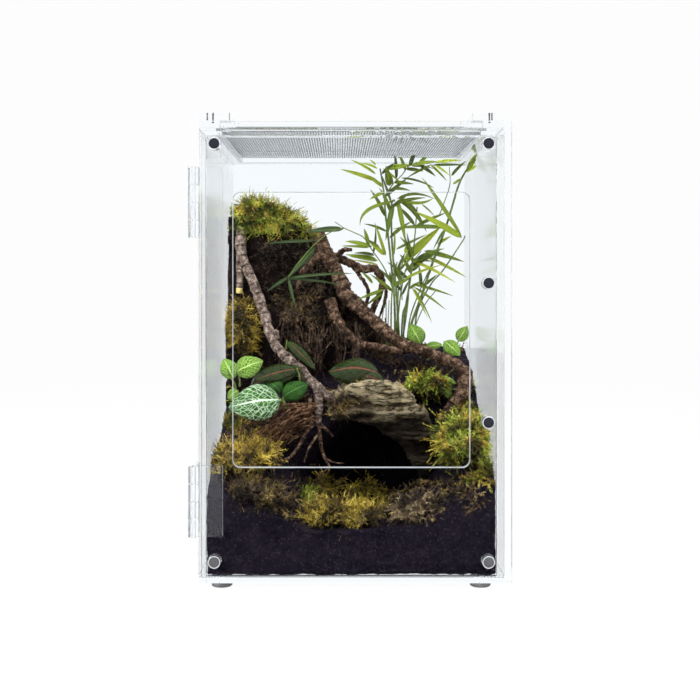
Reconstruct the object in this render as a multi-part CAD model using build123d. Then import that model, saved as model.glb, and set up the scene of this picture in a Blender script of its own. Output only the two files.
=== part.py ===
from build123d import *
import math
import os

# A clear acrylic terrarium, 200 mm square, with a hinged magnetic front door,
# a mesh vent with a sliding cover, and a planted landscape inside.
# All sizes are millimetres. x runs across the case from its middle, y runs back
# from the front face of the fixed front sheet, z runs up from under the base.

# Acrylic sheets
case_width = 200.0
case_depth = 200.0
case_height = 298.0
case_sheet = 5.0
door_sheet = 5.0

# Rounded opening in the fixed front sheet
opening_width = 155.0
opening_height = 180.0
opening_sill = 76.0
opening_corner = 5.0

# Vent opening, its mesh and the rebate that the mesh lies in
vent_margin = 14.0
mesh_margin = 3.0
mesh_thickness = 1.1
mesh_border = 4.0
mesh_strand = 2.6
mesh_gaps = 17

# Rails that hold the sliding cover
rail_width = 14.0
rail_height = 5.0
cap_width = 20.5
cap_height = 5.0
rail_pin_diameter = 1.5
rail_pin_inset = 8.6
rail_pin_end = 12.0
rail_pin_bite = 1.0
rail_pin_fit = 0.05

# Sliding cover
cover_thickness = 3.0
cover_side_gap = 0.5
cover_lift = 0.2

# Feet
foot_diameter = 14.0
foot_height = 5.0
foot_inset = 14.0
foot_round = 1.2

# Door: it stands proud of the case on top and on the side away from the hinges
door_gap = 0.2
door_lift = 2.0
door_top_over = 4.0
door_left_set_in = 2.5
door_overhang = 4.5

# Disc magnets, in pairs
magnet_diameter = 8.0
magnet_length = 5.0
magnet_fit = 0.05
magnet_inset = 10.7
magnet_low = 15.0
magnet_top_inset = 10.6
magnet_rows = 4

# Butt hinges
leaf_thickness = 2.0
leaf_width = 19.0
hinge_height = 46.0
hinge_spacing_share = 0.65
knuckle_count = 4
knuckle_gap = 0.3
barrel_diameter = 7.0
barrel_relief = 0.5
fold_gap = 0.5
hinge_pin_diameter = 2.0
hinge_pin_fit = 0.05

# Landscape: its places are drawn for a case of this size, and spread with the case
drawn_width = 200.0
drawn_depth = 200.0
drawn_height = 298.0
soil_front_sides = 60.0
soil_front_middle = 34.0
soil_rear = 150.0
cave_floor = 34.0
mound_thickness = 46.0
mound_step = 16.0
bark_front, bark_rear = 68.0, 118.0
mound_height = 246.0
leaf_blade = 0.7
leaf_outline = [(0, 0.08), (0.25, 0.8), (0.5, 1.0), (0.8, 0.6), (1, 0)]
pad_sides = 12
stem_radius = 1.1
seat_gap = 0.1
crown_x, crown_y, crown_z = 42.0, 150.0, 139.0
crown_radius = 10.0
crown_top_radius = 7.0
crown_height = 14.0

# ---- places that follow from the sizes ------------------------------------
half_width = case_width / 2
inner_half = half_width - case_sheet
inner_front = case_sheet
inner_rear = case_depth - case_sheet
inner_floor = case_sheet
inner_top = case_height - case_sheet
vent_half = half_width - vent_margin
spread_x = case_width / drawn_width
spread_y = case_depth / drawn_depth
spread_z = case_height / drawn_height
door_height = case_height + door_top_over - door_lift
door_left = -half_width + door_left_set_in
door_right = half_width + door_overhang
door_rear = -door_gap
door_front = door_rear - door_sheet
door_middle = door_lift + door_height / 2
pin_x = -half_width - leaf_thickness - fold_gap
pin_y = door_front - leaf_thickness - fold_gap
magnet_x = half_width - magnet_inset
magnet_pitch = (case_height - magnet_top_inset - magnet_low) / (magnet_rows - 1)
magnet_z = [magnet_low + row * magnet_pitch for row in range(magnet_rows)]
magnet_spots = [(magnet_x, z) for z in magnet_z]
magnet_spots += [(-magnet_x, magnet_z[0]), (-magnet_x, magnet_z[-1])]
hinge_spacing = hinge_spacing_share * case_height
hinge_heights = {
    "upper": door_middle + hinge_spacing / 2,
    "lower": door_middle - hinge_spacing / 2,
}
left_reach = pin_x - barrel_diameter / 2
front_reach = pin_y - barrel_diameter / 2
home = Pos(-(left_reach + door_right) / 2, -(front_reach + case_depth) / 2, foot_height)


def block(x0, x1, y0, y1, z0, z1):
    """A box between two corners."""
    size = Box(x1 - x0, y1 - y0, z1 - z0)
    return Pos((x0 + x1) / 2, (y0 + y1) / 2, (z0 + z1) / 2) * size


def upright_rod(x, y, z0, z1, diameter):
    """A round rod standing on z0."""
    return Pos(x, y, (z0 + z1) / 2) * Cylinder(diameter / 2, z1 - z0)


def disc_through(x, z, y0, y1, diameter):
    """A round disc whose axis runs front to back."""
    disc = Cylinder(diameter / 2, y1 - y0)
    return Pos(x, (y0 + y1) / 2, z) * Rot(90, 0, 0) * disc


def save(name, shape):
    """Write one piece, moved so that the whole object stands on its origin."""
    export_step(home * shape, f"parts/{name}.step")


# ---- case ------------------------------------------------------------------
def case_panels():
    base = block(-half_width, half_width, 0, case_depth, 0, inner_floor)
    left = block(-half_width, -inner_half, 0, case_depth, inner_floor, inner_top)
    right = block(inner_half, half_width, 0, case_depth, inner_floor, inner_top)
    back = block(-inner_half, inner_half, inner_rear, case_depth, inner_floor, inner_top)
    return {"base_panel": base, "left_wall": left, "right_wall": right, "back_wall": back}


def front_frame():
    sheet = block(-inner_half, inner_half, 0, inner_front, inner_floor, inner_top)
    outline = RectangleRounded(opening_width, opening_height, opening_corner)
    middle = opening_sill + opening_height / 2
    window = extrude(Plane.XZ * Pos(0, middle) * outline, 2 * case_sheet, both=True)
    frame = sheet - window
    for x, z in magnet_spots:
        bore = magnet_diameter + 2 * magnet_fit
        frame -= disc_through(x, z, -1, inner_front + 1, bore)
    return frame


def top_frame():
    sheet = block(-half_width, half_width, 0, case_depth, inner_top, case_height)
    near, far = vent_margin, case_depth - vent_margin
    sheet -= block(-vent_half, vent_half, near, far, inner_top - 1, case_height + 1)
    edge = vent_half + mesh_margin
    rebate = block(-edge, edge, near - mesh_margin, far + mesh_margin,
                   case_height - mesh_thickness, case_height + 1)
    return sheet - rebate


def mesh_screen():
    edge = vent_half + mesh_margin
    near, far = vent_margin - mesh_margin, case_depth - vent_margin + mesh_margin
    middle = (near + far) / 2
    low = case_height - mesh_thickness
    net = Rectangle(2 * edge, far - near)
    pitch_x = (2 * edge - 2 * mesh_border) / mesh_gaps
    pitch_y = (far - near - 2 * mesh_border) / mesh_gaps
    hole = Rectangle(pitch_x - mesh_strand, pitch_y - mesh_strand)
    net -= GridLocations(pitch_x, pitch_y, mesh_gaps, mesh_gaps) * hole
    return Pos(0, middle, low) * extrude(net, mesh_thickness)


def rails():
    pieces = {}
    low, high = case_height + rail_height, case_height + rail_height + cap_height
    pins = []
    for side, name in ((-1, "left"), (1, "right")):
        outer = side * half_width
        spacer_in = outer - side * rail_width
        cap_in = outer - side * cap_width
        x0, x1 = sorted((outer, spacer_in))
        spacer = block(x0, x1, 0, case_depth, case_height, low)
        x0, x1 = sorted((outer, cap_in))
        cap = block(x0, x1, 0, case_depth, low, high)
        for y in (rail_pin_end, case_depth - rail_pin_end):
            x, foot = outer - side * rail_pin_inset, low - rail_pin_bite
            pins.append(upright_rod(x, y, foot, high, rail_pin_diameter))
            hole = upright_rod(x, y, foot, high + 1, rail_pin_diameter + 2 * rail_pin_fit)
            spacer -= hole
            cap -= hole
        pieces[f"{name}_rail_spacer"] = spacer
        pieces[f"{name}_rail_cap"] = cap
    pieces["rail_pins"] = Compound(children=pins)
    return pieces


def top_cover():
    edge = half_width - rail_width - cover_side_gap
    low = case_height + cover_lift
    cover = block(-edge, edge, 0, case_depth, low, low + cover_thickness)
    return cover


def feet():
    across = half_width - foot_inset
    feet_list = []
    for x in (-across, across):
        for y in (foot_inset, case_depth - foot_inset):
            foot = upright_rod(x, y, -foot_height, 0, foot_diameter)
            rim = foot.edges().group_by(Axis.Z)[0]
            feet_list.append(fillet(rim, foot_round))
    return Compound(children=feet_list)


def magnets(y0, y1):
    discs = [disc_through(x, z, y0, y1, magnet_diameter) for x, z in magnet_spots]
    return Compound(children=discs)


# ---- door ------------------------------------------------------------------
def door_panel():
    top = door_lift + door_height
    panel = block(door_left, door_right, door_front, door_rear, door_lift, top)
    for x, z in magnet_spots:
        bore = magnet_diameter + 2 * magnet_fit
        panel -= disc_through(x, z, door_front - 1, door_rear + 1, bore)
    return panel


def knuckle_rows(middle, first):
    """Heights of every second knuckle of one hinge."""
    step = hinge_height / knuckle_count
    low = middle - hinge_height / 2
    rows = []
    for row in range(first, knuckle_count, 2):
        rows.append((low + row * step + knuckle_gap / 2,
                     low + (row + 1) * step - knuckle_gap / 2))
    return rows


def hinge_leaf(middle, first, plate, reach_in):
    """A plate with its own knuckles, cut back where the other leaf's knuckles turn."""
    low, high = middle - hinge_height / 2, middle + hinge_height / 2
    leaf = plate
    cut = upright_rod(pin_x, pin_y, low - 1, high + 1, barrel_diameter + 2 * barrel_relief)
    leaf -= cut
    for z0, z1 in knuckle_rows(middle, first):
        leaf += upright_rod(pin_x, pin_y, z0, z1, barrel_diameter)
        leaf += reach_in(z0, z1)
    bore = hinge_pin_diameter + 2 * hinge_pin_fit
    return leaf - upright_rod(pin_x, pin_y, low - 1, high + 1, bore)


def hinges():
    pieces = {}
    for name, middle in hinge_heights.items():
        low, high = middle - hinge_height / 2, middle + hinge_height / 2

        def door_strip(z0, z1, x0=pin_x):
            return block(x0, pin_x + leaf_width, door_front - leaf_thickness, door_front, z0, z1)

        def case_strip(z0, z1, y0=pin_y):
            return block(-half_width - leaf_thickness, -half_width, y0, pin_y + leaf_width, z0, z1)

        door_leaf = hinge_leaf(middle, 0, door_strip(low, high), door_strip)
        case_leaf = hinge_leaf(middle, 1, case_strip(low, high), case_strip)
        pieces[f"{name}_hinge_door_leaf"] = door_leaf
        pieces[f"{name}_hinge_case_leaf"] = case_leaf
        pieces[f"{name}_hinge_pin"] = upright_rod(pin_x, pin_y, low, high, hinge_pin_diameter)
    return pieces


# ---- landscape -------------------------------------------------------------
def spot(x, y, z):
    """A drawn place, spread with the case."""
    return Vector(x * spread_x, y * spread_y, z * spread_z)


def upright_sheet(outline, y):
    """A face across the case at a drawn depth, from drawn x and z."""
    points = [(x * spread_x, z * spread_z) for x, z in outline]
    return Plane.XZ.offset(-y * spread_y) * make_face(Polyline(*points, close=True))


def rolling_solid(xs, ys, rows, floor):
    """A closed solid with a flat floor, whose top passes through rows of heights."""
    sections = []
    for y, row in zip(ys, rows):
        outline = [(xs[0], y, floor)] + [(x, y, z) for x, z in zip(xs, row)]
        outline.append((xs[-1], y, floor))
        sections.append(Face(Wire.make_polygon(outline)))
    return loft(sections, ruled=True)


def substrate():
    side, mid, rear = soil_front_sides, soil_front_middle, soil_rear
    inner_x = [x * spread_x for x in (-70, -45, -24, 12, 48, 70)]
    inner_y = [y * spread_y for y in (30, 58, 92, 118, 150)]
    xs = [-inner_half, *inner_x, inner_half]
    ys = [inner_front, *inner_y, inner_rear]
    rows = [
        [side - 4, side - 9, side - 19, mid, mid + 1, mid + 5, side - 6, side + 6],
        [side + 13, side + 2, side - 14, mid, mid, mid + 4, side + 1, side + 16],
        [side + 19, side + 15, side + 4, mid + 3, mid, mid + 10, side + 14, side + 27],
        [side + 26, side + 30, side + 29, cave_floor + 8, cave_floor, 50, side + 30, side + 43],
        [rear - 58, rear - 50, rear - 40, rear - 34, rear - 30, rear - 32, rear - 32, rear - 34],
        [rear - 40, rear - 32, rear - 22, rear - 12, rear - 4, rear - 8, rear - 16, rear - 18],
        [rear, rear, rear, rear + 4, rear + 4, rear, rear - 6, rear - 8],
    ]
    rows = [[z * spread_z for z in row] for row in rows]
    hill = rolling_solid(xs, ys, rows, inner_floor)
    x, y, z = spot(crown_x, crown_y, crown_z)
    wide = 2 * (crown_radius + seat_gap)
    return hill - upright_rod(x, y, z, z + soil_rear / 2, wide)


def peat_mound(soil):
    """Tall block against the rear wall, steep in front, falling away to the right."""
    high, wall = mound_height, -inner_half / spread_x
    rear = inner_rear / spread_y
    skyline = [(wall, 90), (wall, high), (-52, high + 2), (-34, high - 6),
               (-22, high - 22), (-10, high - 50), (6, high - 72), (24, high - 90), (30, 90)]
    mound = extrude(upright_sheet(skyline, rear), mound_thickness * spread_y)
    step = [(wall, 90), (wall, 168), (-66, 178), (-40, 172), (-16, 160), (8, 90)]
    lower = upright_sheet(step, rear - mound_thickness)
    mound += extrude(lower, mound_step * spread_y)
    return mound - soil


def limb(points, radii):
    """A round limb through points, with a radius at each."""
    spots = [spot(*p) for p in points]
    rings = []
    for i, middle in enumerate(spots):
        ahead = spots[min(i + 1, len(spots) - 1)] - spots[max(i - 1, 0)]
        side = Vector(0, 1, 0).cross(ahead)
        rings.append(Plane(middle, x_dir=side, z_dir=ahead) * Circle(radii[i]))
    return loft(rings, ruled=True)


def blade(base, tip, width, facing):
    """A flat pointed leaf from base to tip."""
    start, run = spot(*base), spot(*tip) - spot(*base)
    length, half = run.length, width / 2
    across = Vector(*facing).cross(run)
    plane = Plane(start, x_dir=run, z_dir=run.cross(across))
    edge = [(along * length, out * half) for along, out in leaf_outline]
    back = [(x, -y) for x, y in reversed(edge[:-1])]
    return extrude(plane * make_face(Polyline(*edge, *back, close=True)), leaf_blade / 2, both=True)


def pad(centre, radii):
    """A rounded cushion of moss, as a stack of twelve-sided rings."""
    middle, reach = spot(*centre), spot(*radii)
    rings = []
    for lean in (-60, -32, 0, 32, 62):
        out, up = math.cos(math.radians(lean)), math.sin(math.radians(lean))
        turn = [math.radians(360 * i / pad_sides) for i in range(pad_sides)]
        ring = [(reach.X * out * math.cos(a), reach.Y * out * math.sin(a)) for a in turn]
        level = Plane(Vector(middle.X, middle.Y, middle.Z + reach.Z * up))
        rings.append(level * make_face(Polyline(*ring, close=True)))
    return loft(rings, ruled=True)


def cork_bark_hide(soil):
    """Curved slab of bark that roofs the cave."""
    upper = [(-14, 110), (0, 122), (22, 124), (44, 112), (60, 90), (68, 66)]
    under = [(52, 54), (40, 74), (26, 87), (10, 95), (-14, 98)]
    upper, under = [[(x * spread_x, z * spread_z) for x, z in edge] for edge in (upper, under)]
    outline = Spline(*upper) + Line(upper[-1], under[0]) + Spline(*under)
    outline += Line(under[-1], upper[0])
    sheet = Plane.XZ.offset(-bark_rear * spread_y) * make_face(outline)
    slab = extrude(sheet, (bark_rear - bark_front) * spread_y)
    return slab - soil


def interior():
    return block(-inner_half, inner_half, inner_front, inner_rear, inner_floor, inner_top)


def branches():
    left = limb([(-84, 162, 252), (-85, 150, 234), (-81, 143, 214), (-73, 136, 194),
                 (-66, 126, 173), (-60, 114, 156), (-49, 102, 142), (-33, 92, 129),
                 (-21, 84, 117), (-8, 76, 106)],
                [4.2, 4.2, 3.9, 3.6, 3.5, 3.6, 3.7, 3.6, 4.2, 3.0])
    stub = limb([(-83, 146, 224), (-86, 142, 206), (-86, 140, 188)], [2.8, 2.8, 2.5])
    left = left + stub
    root = limb([(-27, 150, 232), (-14, 146, 210), (-4, 142, 190), (6, 140, 180),
                 (20, 136, 164), (33, 132, 152), (50, 126, 145), (68, 120, 139),
                 (84, 112, 130)],
                [7.0, 6.4, 5.6, 5.2, 4.6, 4.2, 4.2, 4.4, 5.0])
    elbow = limb([(80, 113, 132), (86, 108, 121), (80, 100, 108), (70, 92, 98)],
                 [4.8, 5.2, 4.4, 3.4])
    root = root + elbow
    upper = limb([(-16, 160, 220), (-4, 160, 212), (8, 160, 207), (20, 160, 206),
                  (26, 158, 198), (27, 156, 188), (22, 154, 178), (18, 150, 163)],
                 [3.4, 3.2, 3.0, 3.0, 2.8, 2.6, 2.2, 2.4])
    upper = upper - root
    return {"left_branch": left - root, "right_root": root, "upper_root": upper}


def root_tangle():
    first = limb([(-22, 83, 112), (-22, 76, 98), (-20, 70, 84), (-16, 66, 72), (-15, 62, 60)],
                 [2.4, 1.6, 1.3, 1.1, 0.8])
    second = limb([(-22, 82, 110), (-29, 74, 96), (-38, 66, 84), (-48, 58, 72), (-56, 52, 66)],
                  [2.2, 1.5, 1.3, 1.2, 1.0])
    third = limb([(-12, 77, 108), (-6, 70, 98), (4, 66, 92)], [2.0, 1.6, 1.2])
    return first + second + third


def moss_pads():
    return {
        "mound_moss": pad((-62, 168, 249), (34, 26, 16)),
        "left_moss": pad((-82, 134, 161), (14, 16, 24)),
        "lower_left_moss": pad((-72, 42, 76), (24, 30, 11)),
        "right_moss": pad((78, 50, 88), (18, 40, 16)),
        "centre_moss": pad((58, 108, 118), (18, 14, 12)),
        "front_left_moss": pad((-64, 19, 54), (20, 12, 13)),
        "front_middle_moss": pad((-8, 20, 38), (30, 13, 14)),
        "front_right_moss": pad((46, 19, 44), (17, 12, 13)),
    }


def parlour_palm():
    """Stems that fan out of one root, each ending in its leaflets."""
    fronds = [
        ([(34, 152, 142), (34, 150, 186), (30, 143, 225), (26, 138, 252), (24, 134, 280)],
         [(9, 128, 287), (1, 126, 289), (-6, 130, 282), (14, 130, 262)]),
        ([(37, 150, 142), (36, 146, 190), (33, 138, 225), (35, 130, 259)],
         [(8, 118, 240), (28, 122, 229), (43, 120, 226), (66, 128, 260), (59, 118, 235)]),
        ([(26, 138, 252), (32, 132, 270), (44, 124, 282), (62, 118, 286)],
         [(84, 112, 288), (54, 114, 270), (76, 108, 274), (88, 106, 282)]),
        ([(47, 148, 142), (54, 142, 183), (62, 134, 208), (70, 125, 229), (78, 110, 256)],
         [(90, 66, 289), (90, 96, 282)]),
        ([(49, 149, 142), (62, 142, 195), (73, 135, 206), (86, 125, 230)],
         [(56, 118, 276), (50, 118, 250), (34, 120, 238)]),
        ([(41, 152, 142), (43, 145, 185), (42, 140, 199), (56, 130, 221)],
         [(88, 124, 212), (91, 122, 200), (69, 128, 210), (72, 124, 238)]),
        ([(44, 149, 142), (46, 142, 194)],
         [(80, 130, 186), (73, 128, 176), (60, 130, 168), (64, 128, 165)]),
        ([(36, 153, 142), (33, 148, 192), (26, 142, 213), (14, 134, 229), (-4, 124, 238)],
         [(-3, 120, 228), (-38, 112, 236)]),
        ([(-4, 124, 238), (-24, 114, 228), (-47, 106, 200)],
         [(-66, 102, 190), (-41, 100, 176), (2, 104, 203), (-6, 106, 194), (-66, 106, 226)]),
    ]
    crown = Cone(crown_radius, crown_top_radius, crown_height)
    x, y, z = spot(crown_x, crown_y, crown_z)
    crown = Pos(x, y, z + seat_gap + crown_height / 2) * crown
    pieces = []
    for stem, tips in fronds:
        radii = [stem_radius * (1 - 0.12 * i) for i in range(len(stem))]
        pieces.append(limb(stem, radii))
        for tip in tips:
            pieces.append(blade(stem[-1], tip, 5.0, (0, -1, 0.3)))
    return crown.fuse(*pieces)


def leafy_plant(root, leaves):
    """Broad leaves on short stems from one root."""
    x, y, z = root
    foot = limb([(x, y, z - 8), (x, y, z + 1)], [1.8, 1.4])
    pieces = []
    for base, tip, width, facing in leaves:
        pieces.append(limb([root, base], [1.2, 0.8]))
        pieces.append(blade(base, tip, width, facing))
    return foot.fuse(*pieces)


def fittonias():
    white = leafy_plant((-70, 84, 90), [
        ((-54, 62, 106), (-86, 54, 116), 27, (0, -1, 0.5)),
        ((-80, 92, 124), (-93, 88, 126), 15, (0, -1, 0.5)),
        ((-80, 92, 124), (-62, 90, 132), 17, (0, -1, 0.5)),
        ((-52, 78, 112), (-36, 72, 128), 16, (0, -1, 0.6)),
    ])
    red = leafy_plant((0, 122, 126), [
        ((-18, 100, 130), (14, 94, 134), 16, (0, -1, 0.5)),
        ((2, 98, 126), (22, 92, 122), 15, (0, -1, 0.5)),
    ])
    green = leafy_plant((66, 150, 141), [
        ((54, 136, 148), (46, 132, 167), 15, (0, -1, 0.2)),
        ((60, 144, 146), (78, 138, 150), 14, (0, -1, 0.6)),
        ((78, 146, 150), (88, 142, 164), 12, (0, -1, 0.3)),
    ])
    return {"white_fittonia": white, "red_fittonia": red, "green_fittonia": green}


def landscape():
    room = interior()
    soil = substrate()
    mound = peat_mound(soil)
    bark = cork_bark_hide(soil)
    proud = Pos(0, -seat_gap, seat_gap)
    ground = [proud * piece for piece in (soil, mound, bark)]
    pieces = {"substrate": soil, "peat_mound": mound, "cork_bark_hide": bark}

    def settle(shape, *more):
        """Cut a piece to the room and to everything that it rests on."""
        settled = shape & room
        for other in (*ground, *more):
            settled = settled - other
        return biggest(settled)

    limbs = branches()
    for name in ("right_root", "left_branch", "upper_root"):
        pieces[name] = settle(limbs[name])
    wood = [pieces["right_root"], pieces["left_branch"], pieces["upper_root"]]
    pieces["root_tangle"] = settle(root_tangle(), *wood)
    wood.append(pieces["root_tangle"])
    for name, shape in moss_pads().items():
        pieces[name] = settle(shape, *wood)
    moss = [pieces[name] for name in pieces if name.endswith("moss")]
    for name, shape in fittonias().items():
        pieces[name] = settle(shape, *wood, *moss)
    pieces["parlour_palm"] = parlour_palm()
    return pieces


def biggest(shape):
    """The largest solid of a cut piece, without the crumbs."""
    return max(shape.solids(), key=lambda solid: solid.volume)


# ---- every piece ------------------------------------------------------------
os.makedirs("parts", exist_ok=True)
parts = case_panels()
parts["front_frame"] = front_frame()
parts["top_frame"] = top_frame()
parts["mesh_screen"] = mesh_screen()
parts.update(rails())
parts["feet"] = feet()
parts["frame_magnets"] = magnets(0, magnet_length)
parts["door_panel"] = door_panel()
parts["door_magnets"] = magnets(door_rear - magnet_length, door_rear)
parts.update(hinges())
parts["top_cover"] = top_cover()
parts.update(landscape())
for part_name, part_shape in parts.items():
    save(part_name, part_shape)
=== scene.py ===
import math

import bmesh
import bpy
import numpy as np
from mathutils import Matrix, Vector, noise
from mathutils.bvhtree import BVHTree


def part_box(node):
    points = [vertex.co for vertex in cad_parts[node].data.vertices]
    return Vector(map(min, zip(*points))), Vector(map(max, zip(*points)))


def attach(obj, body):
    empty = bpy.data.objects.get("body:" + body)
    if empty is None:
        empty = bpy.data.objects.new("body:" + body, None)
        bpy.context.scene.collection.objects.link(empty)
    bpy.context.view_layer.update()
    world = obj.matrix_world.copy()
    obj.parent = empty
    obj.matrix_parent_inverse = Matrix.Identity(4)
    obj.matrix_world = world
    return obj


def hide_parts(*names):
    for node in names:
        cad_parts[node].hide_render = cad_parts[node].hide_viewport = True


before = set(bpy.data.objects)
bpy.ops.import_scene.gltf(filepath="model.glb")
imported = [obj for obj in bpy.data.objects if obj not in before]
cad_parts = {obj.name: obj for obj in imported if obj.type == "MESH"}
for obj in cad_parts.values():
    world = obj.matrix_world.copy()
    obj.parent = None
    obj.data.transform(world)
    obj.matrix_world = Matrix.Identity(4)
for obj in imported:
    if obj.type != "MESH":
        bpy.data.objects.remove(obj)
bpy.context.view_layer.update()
mm = 0.001
dice = np.random.default_rng(11)
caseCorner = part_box("base_panel")[0]
print("terrarium: frame loaded")

imageSize = 700
view = {"distance": 750, "mmPerPixel": 0.65, "px": 339, "py": 276, "x": -8.07, "z": 201.2, "door": 5}


def atCase(x, y, z):  # millimetres from the middle of the case front, up from its underside
    return Vector((caseCorner.x + (x + 100) * mm, caseCorner.y + y * mm, caseCorner.z + z * mm))


def atPixel(px, py, y):  # the spot seen at a pixel of the photograph, y millimetres behind the front sheet
    scale = view["mmPerPixel"] * (1 + (y + view["door"]) / view["distance"])
    return atCase((px - view["px"]) * scale + view["x"], y, view["z"] + (view["py"] - py) * scale)


class Value:  # one socket, so that shader maths reads as maths
    def __init__(self, paint, socket):
        self.paint, self.socket = paint, socket

    def __add__(self, other):
        return self.paint.maths("ADD", self, other)

    def __sub__(self, other):
        return self.paint.maths("SUBTRACT", self, other)

    def __rsub__(self, other):
        return self.paint.maths("SUBTRACT", other, self)

    def __mul__(self, other):
        return self.paint.maths("MULTIPLY", self, other)

    def __lt__(self, other):
        return self.paint.maths("LESS_THAN", self, other)

    def __gt__(self, other):
        return self.paint.maths("GREATER_THAN", self, other)

    def __abs__(self):
        return self.paint.maths("ABSOLUTE", self)


class Paint:  # one material, or the room, and its nodes
    def __init__(self, name, holder=None):
        self.material = holder or bpy.data.materials.new(name)
        self.material.use_nodes = True
        self.tree = self.material.node_tree
        self.tree.nodes.clear()
        self.coords = None

    def node(self, kind, settings=None, sockets=None, out=0):
        made = self.tree.nodes.new("ShaderNode" + kind)
        for key, value in (settings or {}).items():
            if key == "stops":
                first, *middle, last = value
                ramp = made.color_ramp.elements
                ramp[0].position, ramp[0].color = first[0], (*first[1], 1)
                ramp[1].position, ramp[1].color = last[0], (*last[1], 1)
                for place, colour in middle:
                    ramp.new(place).color = (*colour, 1)
            else:
                setattr(made, key, value)
        for key, value in (sockets or {}).items():
            into = made.inputs[key]
            if isinstance(value, Value):
                self.tree.links.new(value.socket, into)
            elif into.type == "RGBA" and len(value) == 3:
                into.default_value = (*value, 1)
            else:
                into.default_value = value
        return Value(self, made.outputs[out]) if len(made.outputs) else made

    def maths(self, operation, a, b=0.0):
        return self.node("Math", {"operation": operation}, {0: a, 1: b})

    def clamped(self, a):
        return self.node("Clamp", None, {"Value": a})

    def stretch(self, value, a, b):  # a to b becomes 0 to 1
        return self.node("MapRange", {"clamp": True},
                         {"Value": value, "From Min": a, "From Max": b})

    def spread(self, name):  # a number held by the mesh
        return self.node("Attribute", {"attribute_name": name}, None, "Fac")

    def place(self, x=1.0, y=1.0, z=1.0):  # coordinates in metres, stretched along each axis
        if self.coords is None:
            self.coords = self.node("TexCoord", None, None, "Object")
        if (x, y, z) == (1.0, 1.0, 1.0):
            return self.coords
        return self.node("VectorMath", {"operation": "MULTIPLY"}, {0: self.coords, 1: (x, y, z)})

    def grain(self, size, detail=4.0, rough=0.55, where=None):  # size in metres
        return self.node("TexNoise", None, {
            "Vector": where or self.place(), "Scale": 1 / size, "Detail": detail,
            "Roughness": rough}, "Fac")

    def cells(self, size, out="Distance"):
        return self.node("TexVoronoi", None, {"Vector": self.place(), "Scale": 1 / size}, out)

    def level(self):  # height above the floor
        return self.node("SeparateXYZ", None, {"Vector": self.place()}, "Z")

    def mix(self, amount, a, b):
        return self.node("Mix", {"data_type": "RGBA"}, {0: amount, 6: a, 7: b}, 2)

    def ramp(self, amount, *stops):
        return self.node("ValToRGB", {"stops": stops}, {"Fac": amount}, "Color")

    def twoTone(self, amount, low, high):
        return self.ramp(amount, (0.3, low), (0.7, high))

    def bump(self, height, depth, strength=1.0):
        return self.node("Bump", None, {"Height": height, "Distance": depth, "Strength": strength})

    def show(self, shader):
        self.node("OutputMaterial", None, {"Surface": shader})
        return self

    def finish(self, sockets):
        return self.show(self.node("BsdfPrincipled", None, sockets))


def addPiece(name, mesh, paint, body="root", smooth=True, stands=()):
    piece = bpy.data.objects.new(name, mesh)
    bpy.context.scene.collection.objects.link(piece)
    mesh.materials.clear()
    mesh.materials.append(paint.material)
    mesh.polygons.foreach_set("use_smooth", [smooth] * len(mesh.polygons))
    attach(piece, body)
    if stands:
        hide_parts(*stands)
    return piece


def meshOf(name, corners, faces, spreads=None):
    mesh = bpy.data.meshes.new(name)
    mesh.from_pydata([tuple(c) for c in corners], [], [tuple(f) for f in faces])
    for key, values in (spreads or {}).items():
        held = mesh.attributes.new(key, "FLOAT", "POINT")
        held.data.foreach_set("value", np.asarray(values, np.float32))
    mesh.update()
    return mesh


def weldedCopy(node):  # a node's mesh with its split corners joined
    made = bmesh.new()
    made.from_mesh(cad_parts[node].data)
    bmesh.ops.remove_doubles(made, verts=made.verts, dist=1e-6)
    return made


studio = {"floorReach": 3.0, "leftLight": 13.0, "rightLight": 7.0, "topLight": 22.0,
          "roomGrey": 0.16}

camera = bpy.data.cameras.new("camera")
camera.sensor_width = 36
camera.lens = 36 * view["distance"] / (imageSize * view["mmPerPixel"])
camera.shift_x = (imageSize / 2 - view["px"]) / imageSize
camera.shift_y = (view["py"] - imageSize / 2) / imageSize
camera.clip_start, camera.clip_end = 0.05, 20
bpy.context.scene.cycles.max_bounces = 24  # many clear walls lie behind each other
bpy.context.scene.cycles.transmission_bounces = 24
bpy.context.scene.cycles.glossy_bounces = 24
bpy.context.scene.cycles.transparent_max_bounces = 32
eye = bpy.data.objects.new("camera", camera)
eye.location = atCase(view["x"], -view["distance"] - view["door"], view["z"])
eye.rotation_euler = (math.pi / 2, 0, 0)
bpy.context.scene.collection.objects.link(eye)
bpy.context.scene.camera = eye
bpy.context.scene.view_settings.view_transform = "Standard"


def seenDirectly(paint):  # camera rays, and those by way of clear or shiny surfaces
    rays = [paint.node("LightPath", None, None, name)
            for name in ("Is Camera Ray", "Is Glossy Ray", "Is Transmission Ray")]
    return paint.clamped(rays[0] + rays[1] + rays[2])


def makeRoom():
    world = bpy.data.worlds.new("room")
    world.use_nodes = True
    bpy.context.scene.world = world
    paint = Paint("room", world)
    grey = paint.node("Background", None, {
        "Color": (0.96, 0.98, 1.0), "Strength": studio["roomGrey"]})
    white = paint.node("Background", None, {"Color": (1, 1, 1), "Strength": 1.0})
    mixed = paint.node("MixShader", None, {0: seenDirectly(paint), 1: grey, 2: white})
    paint.node("OutputWorld", None, {"Surface": mixed})


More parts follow.
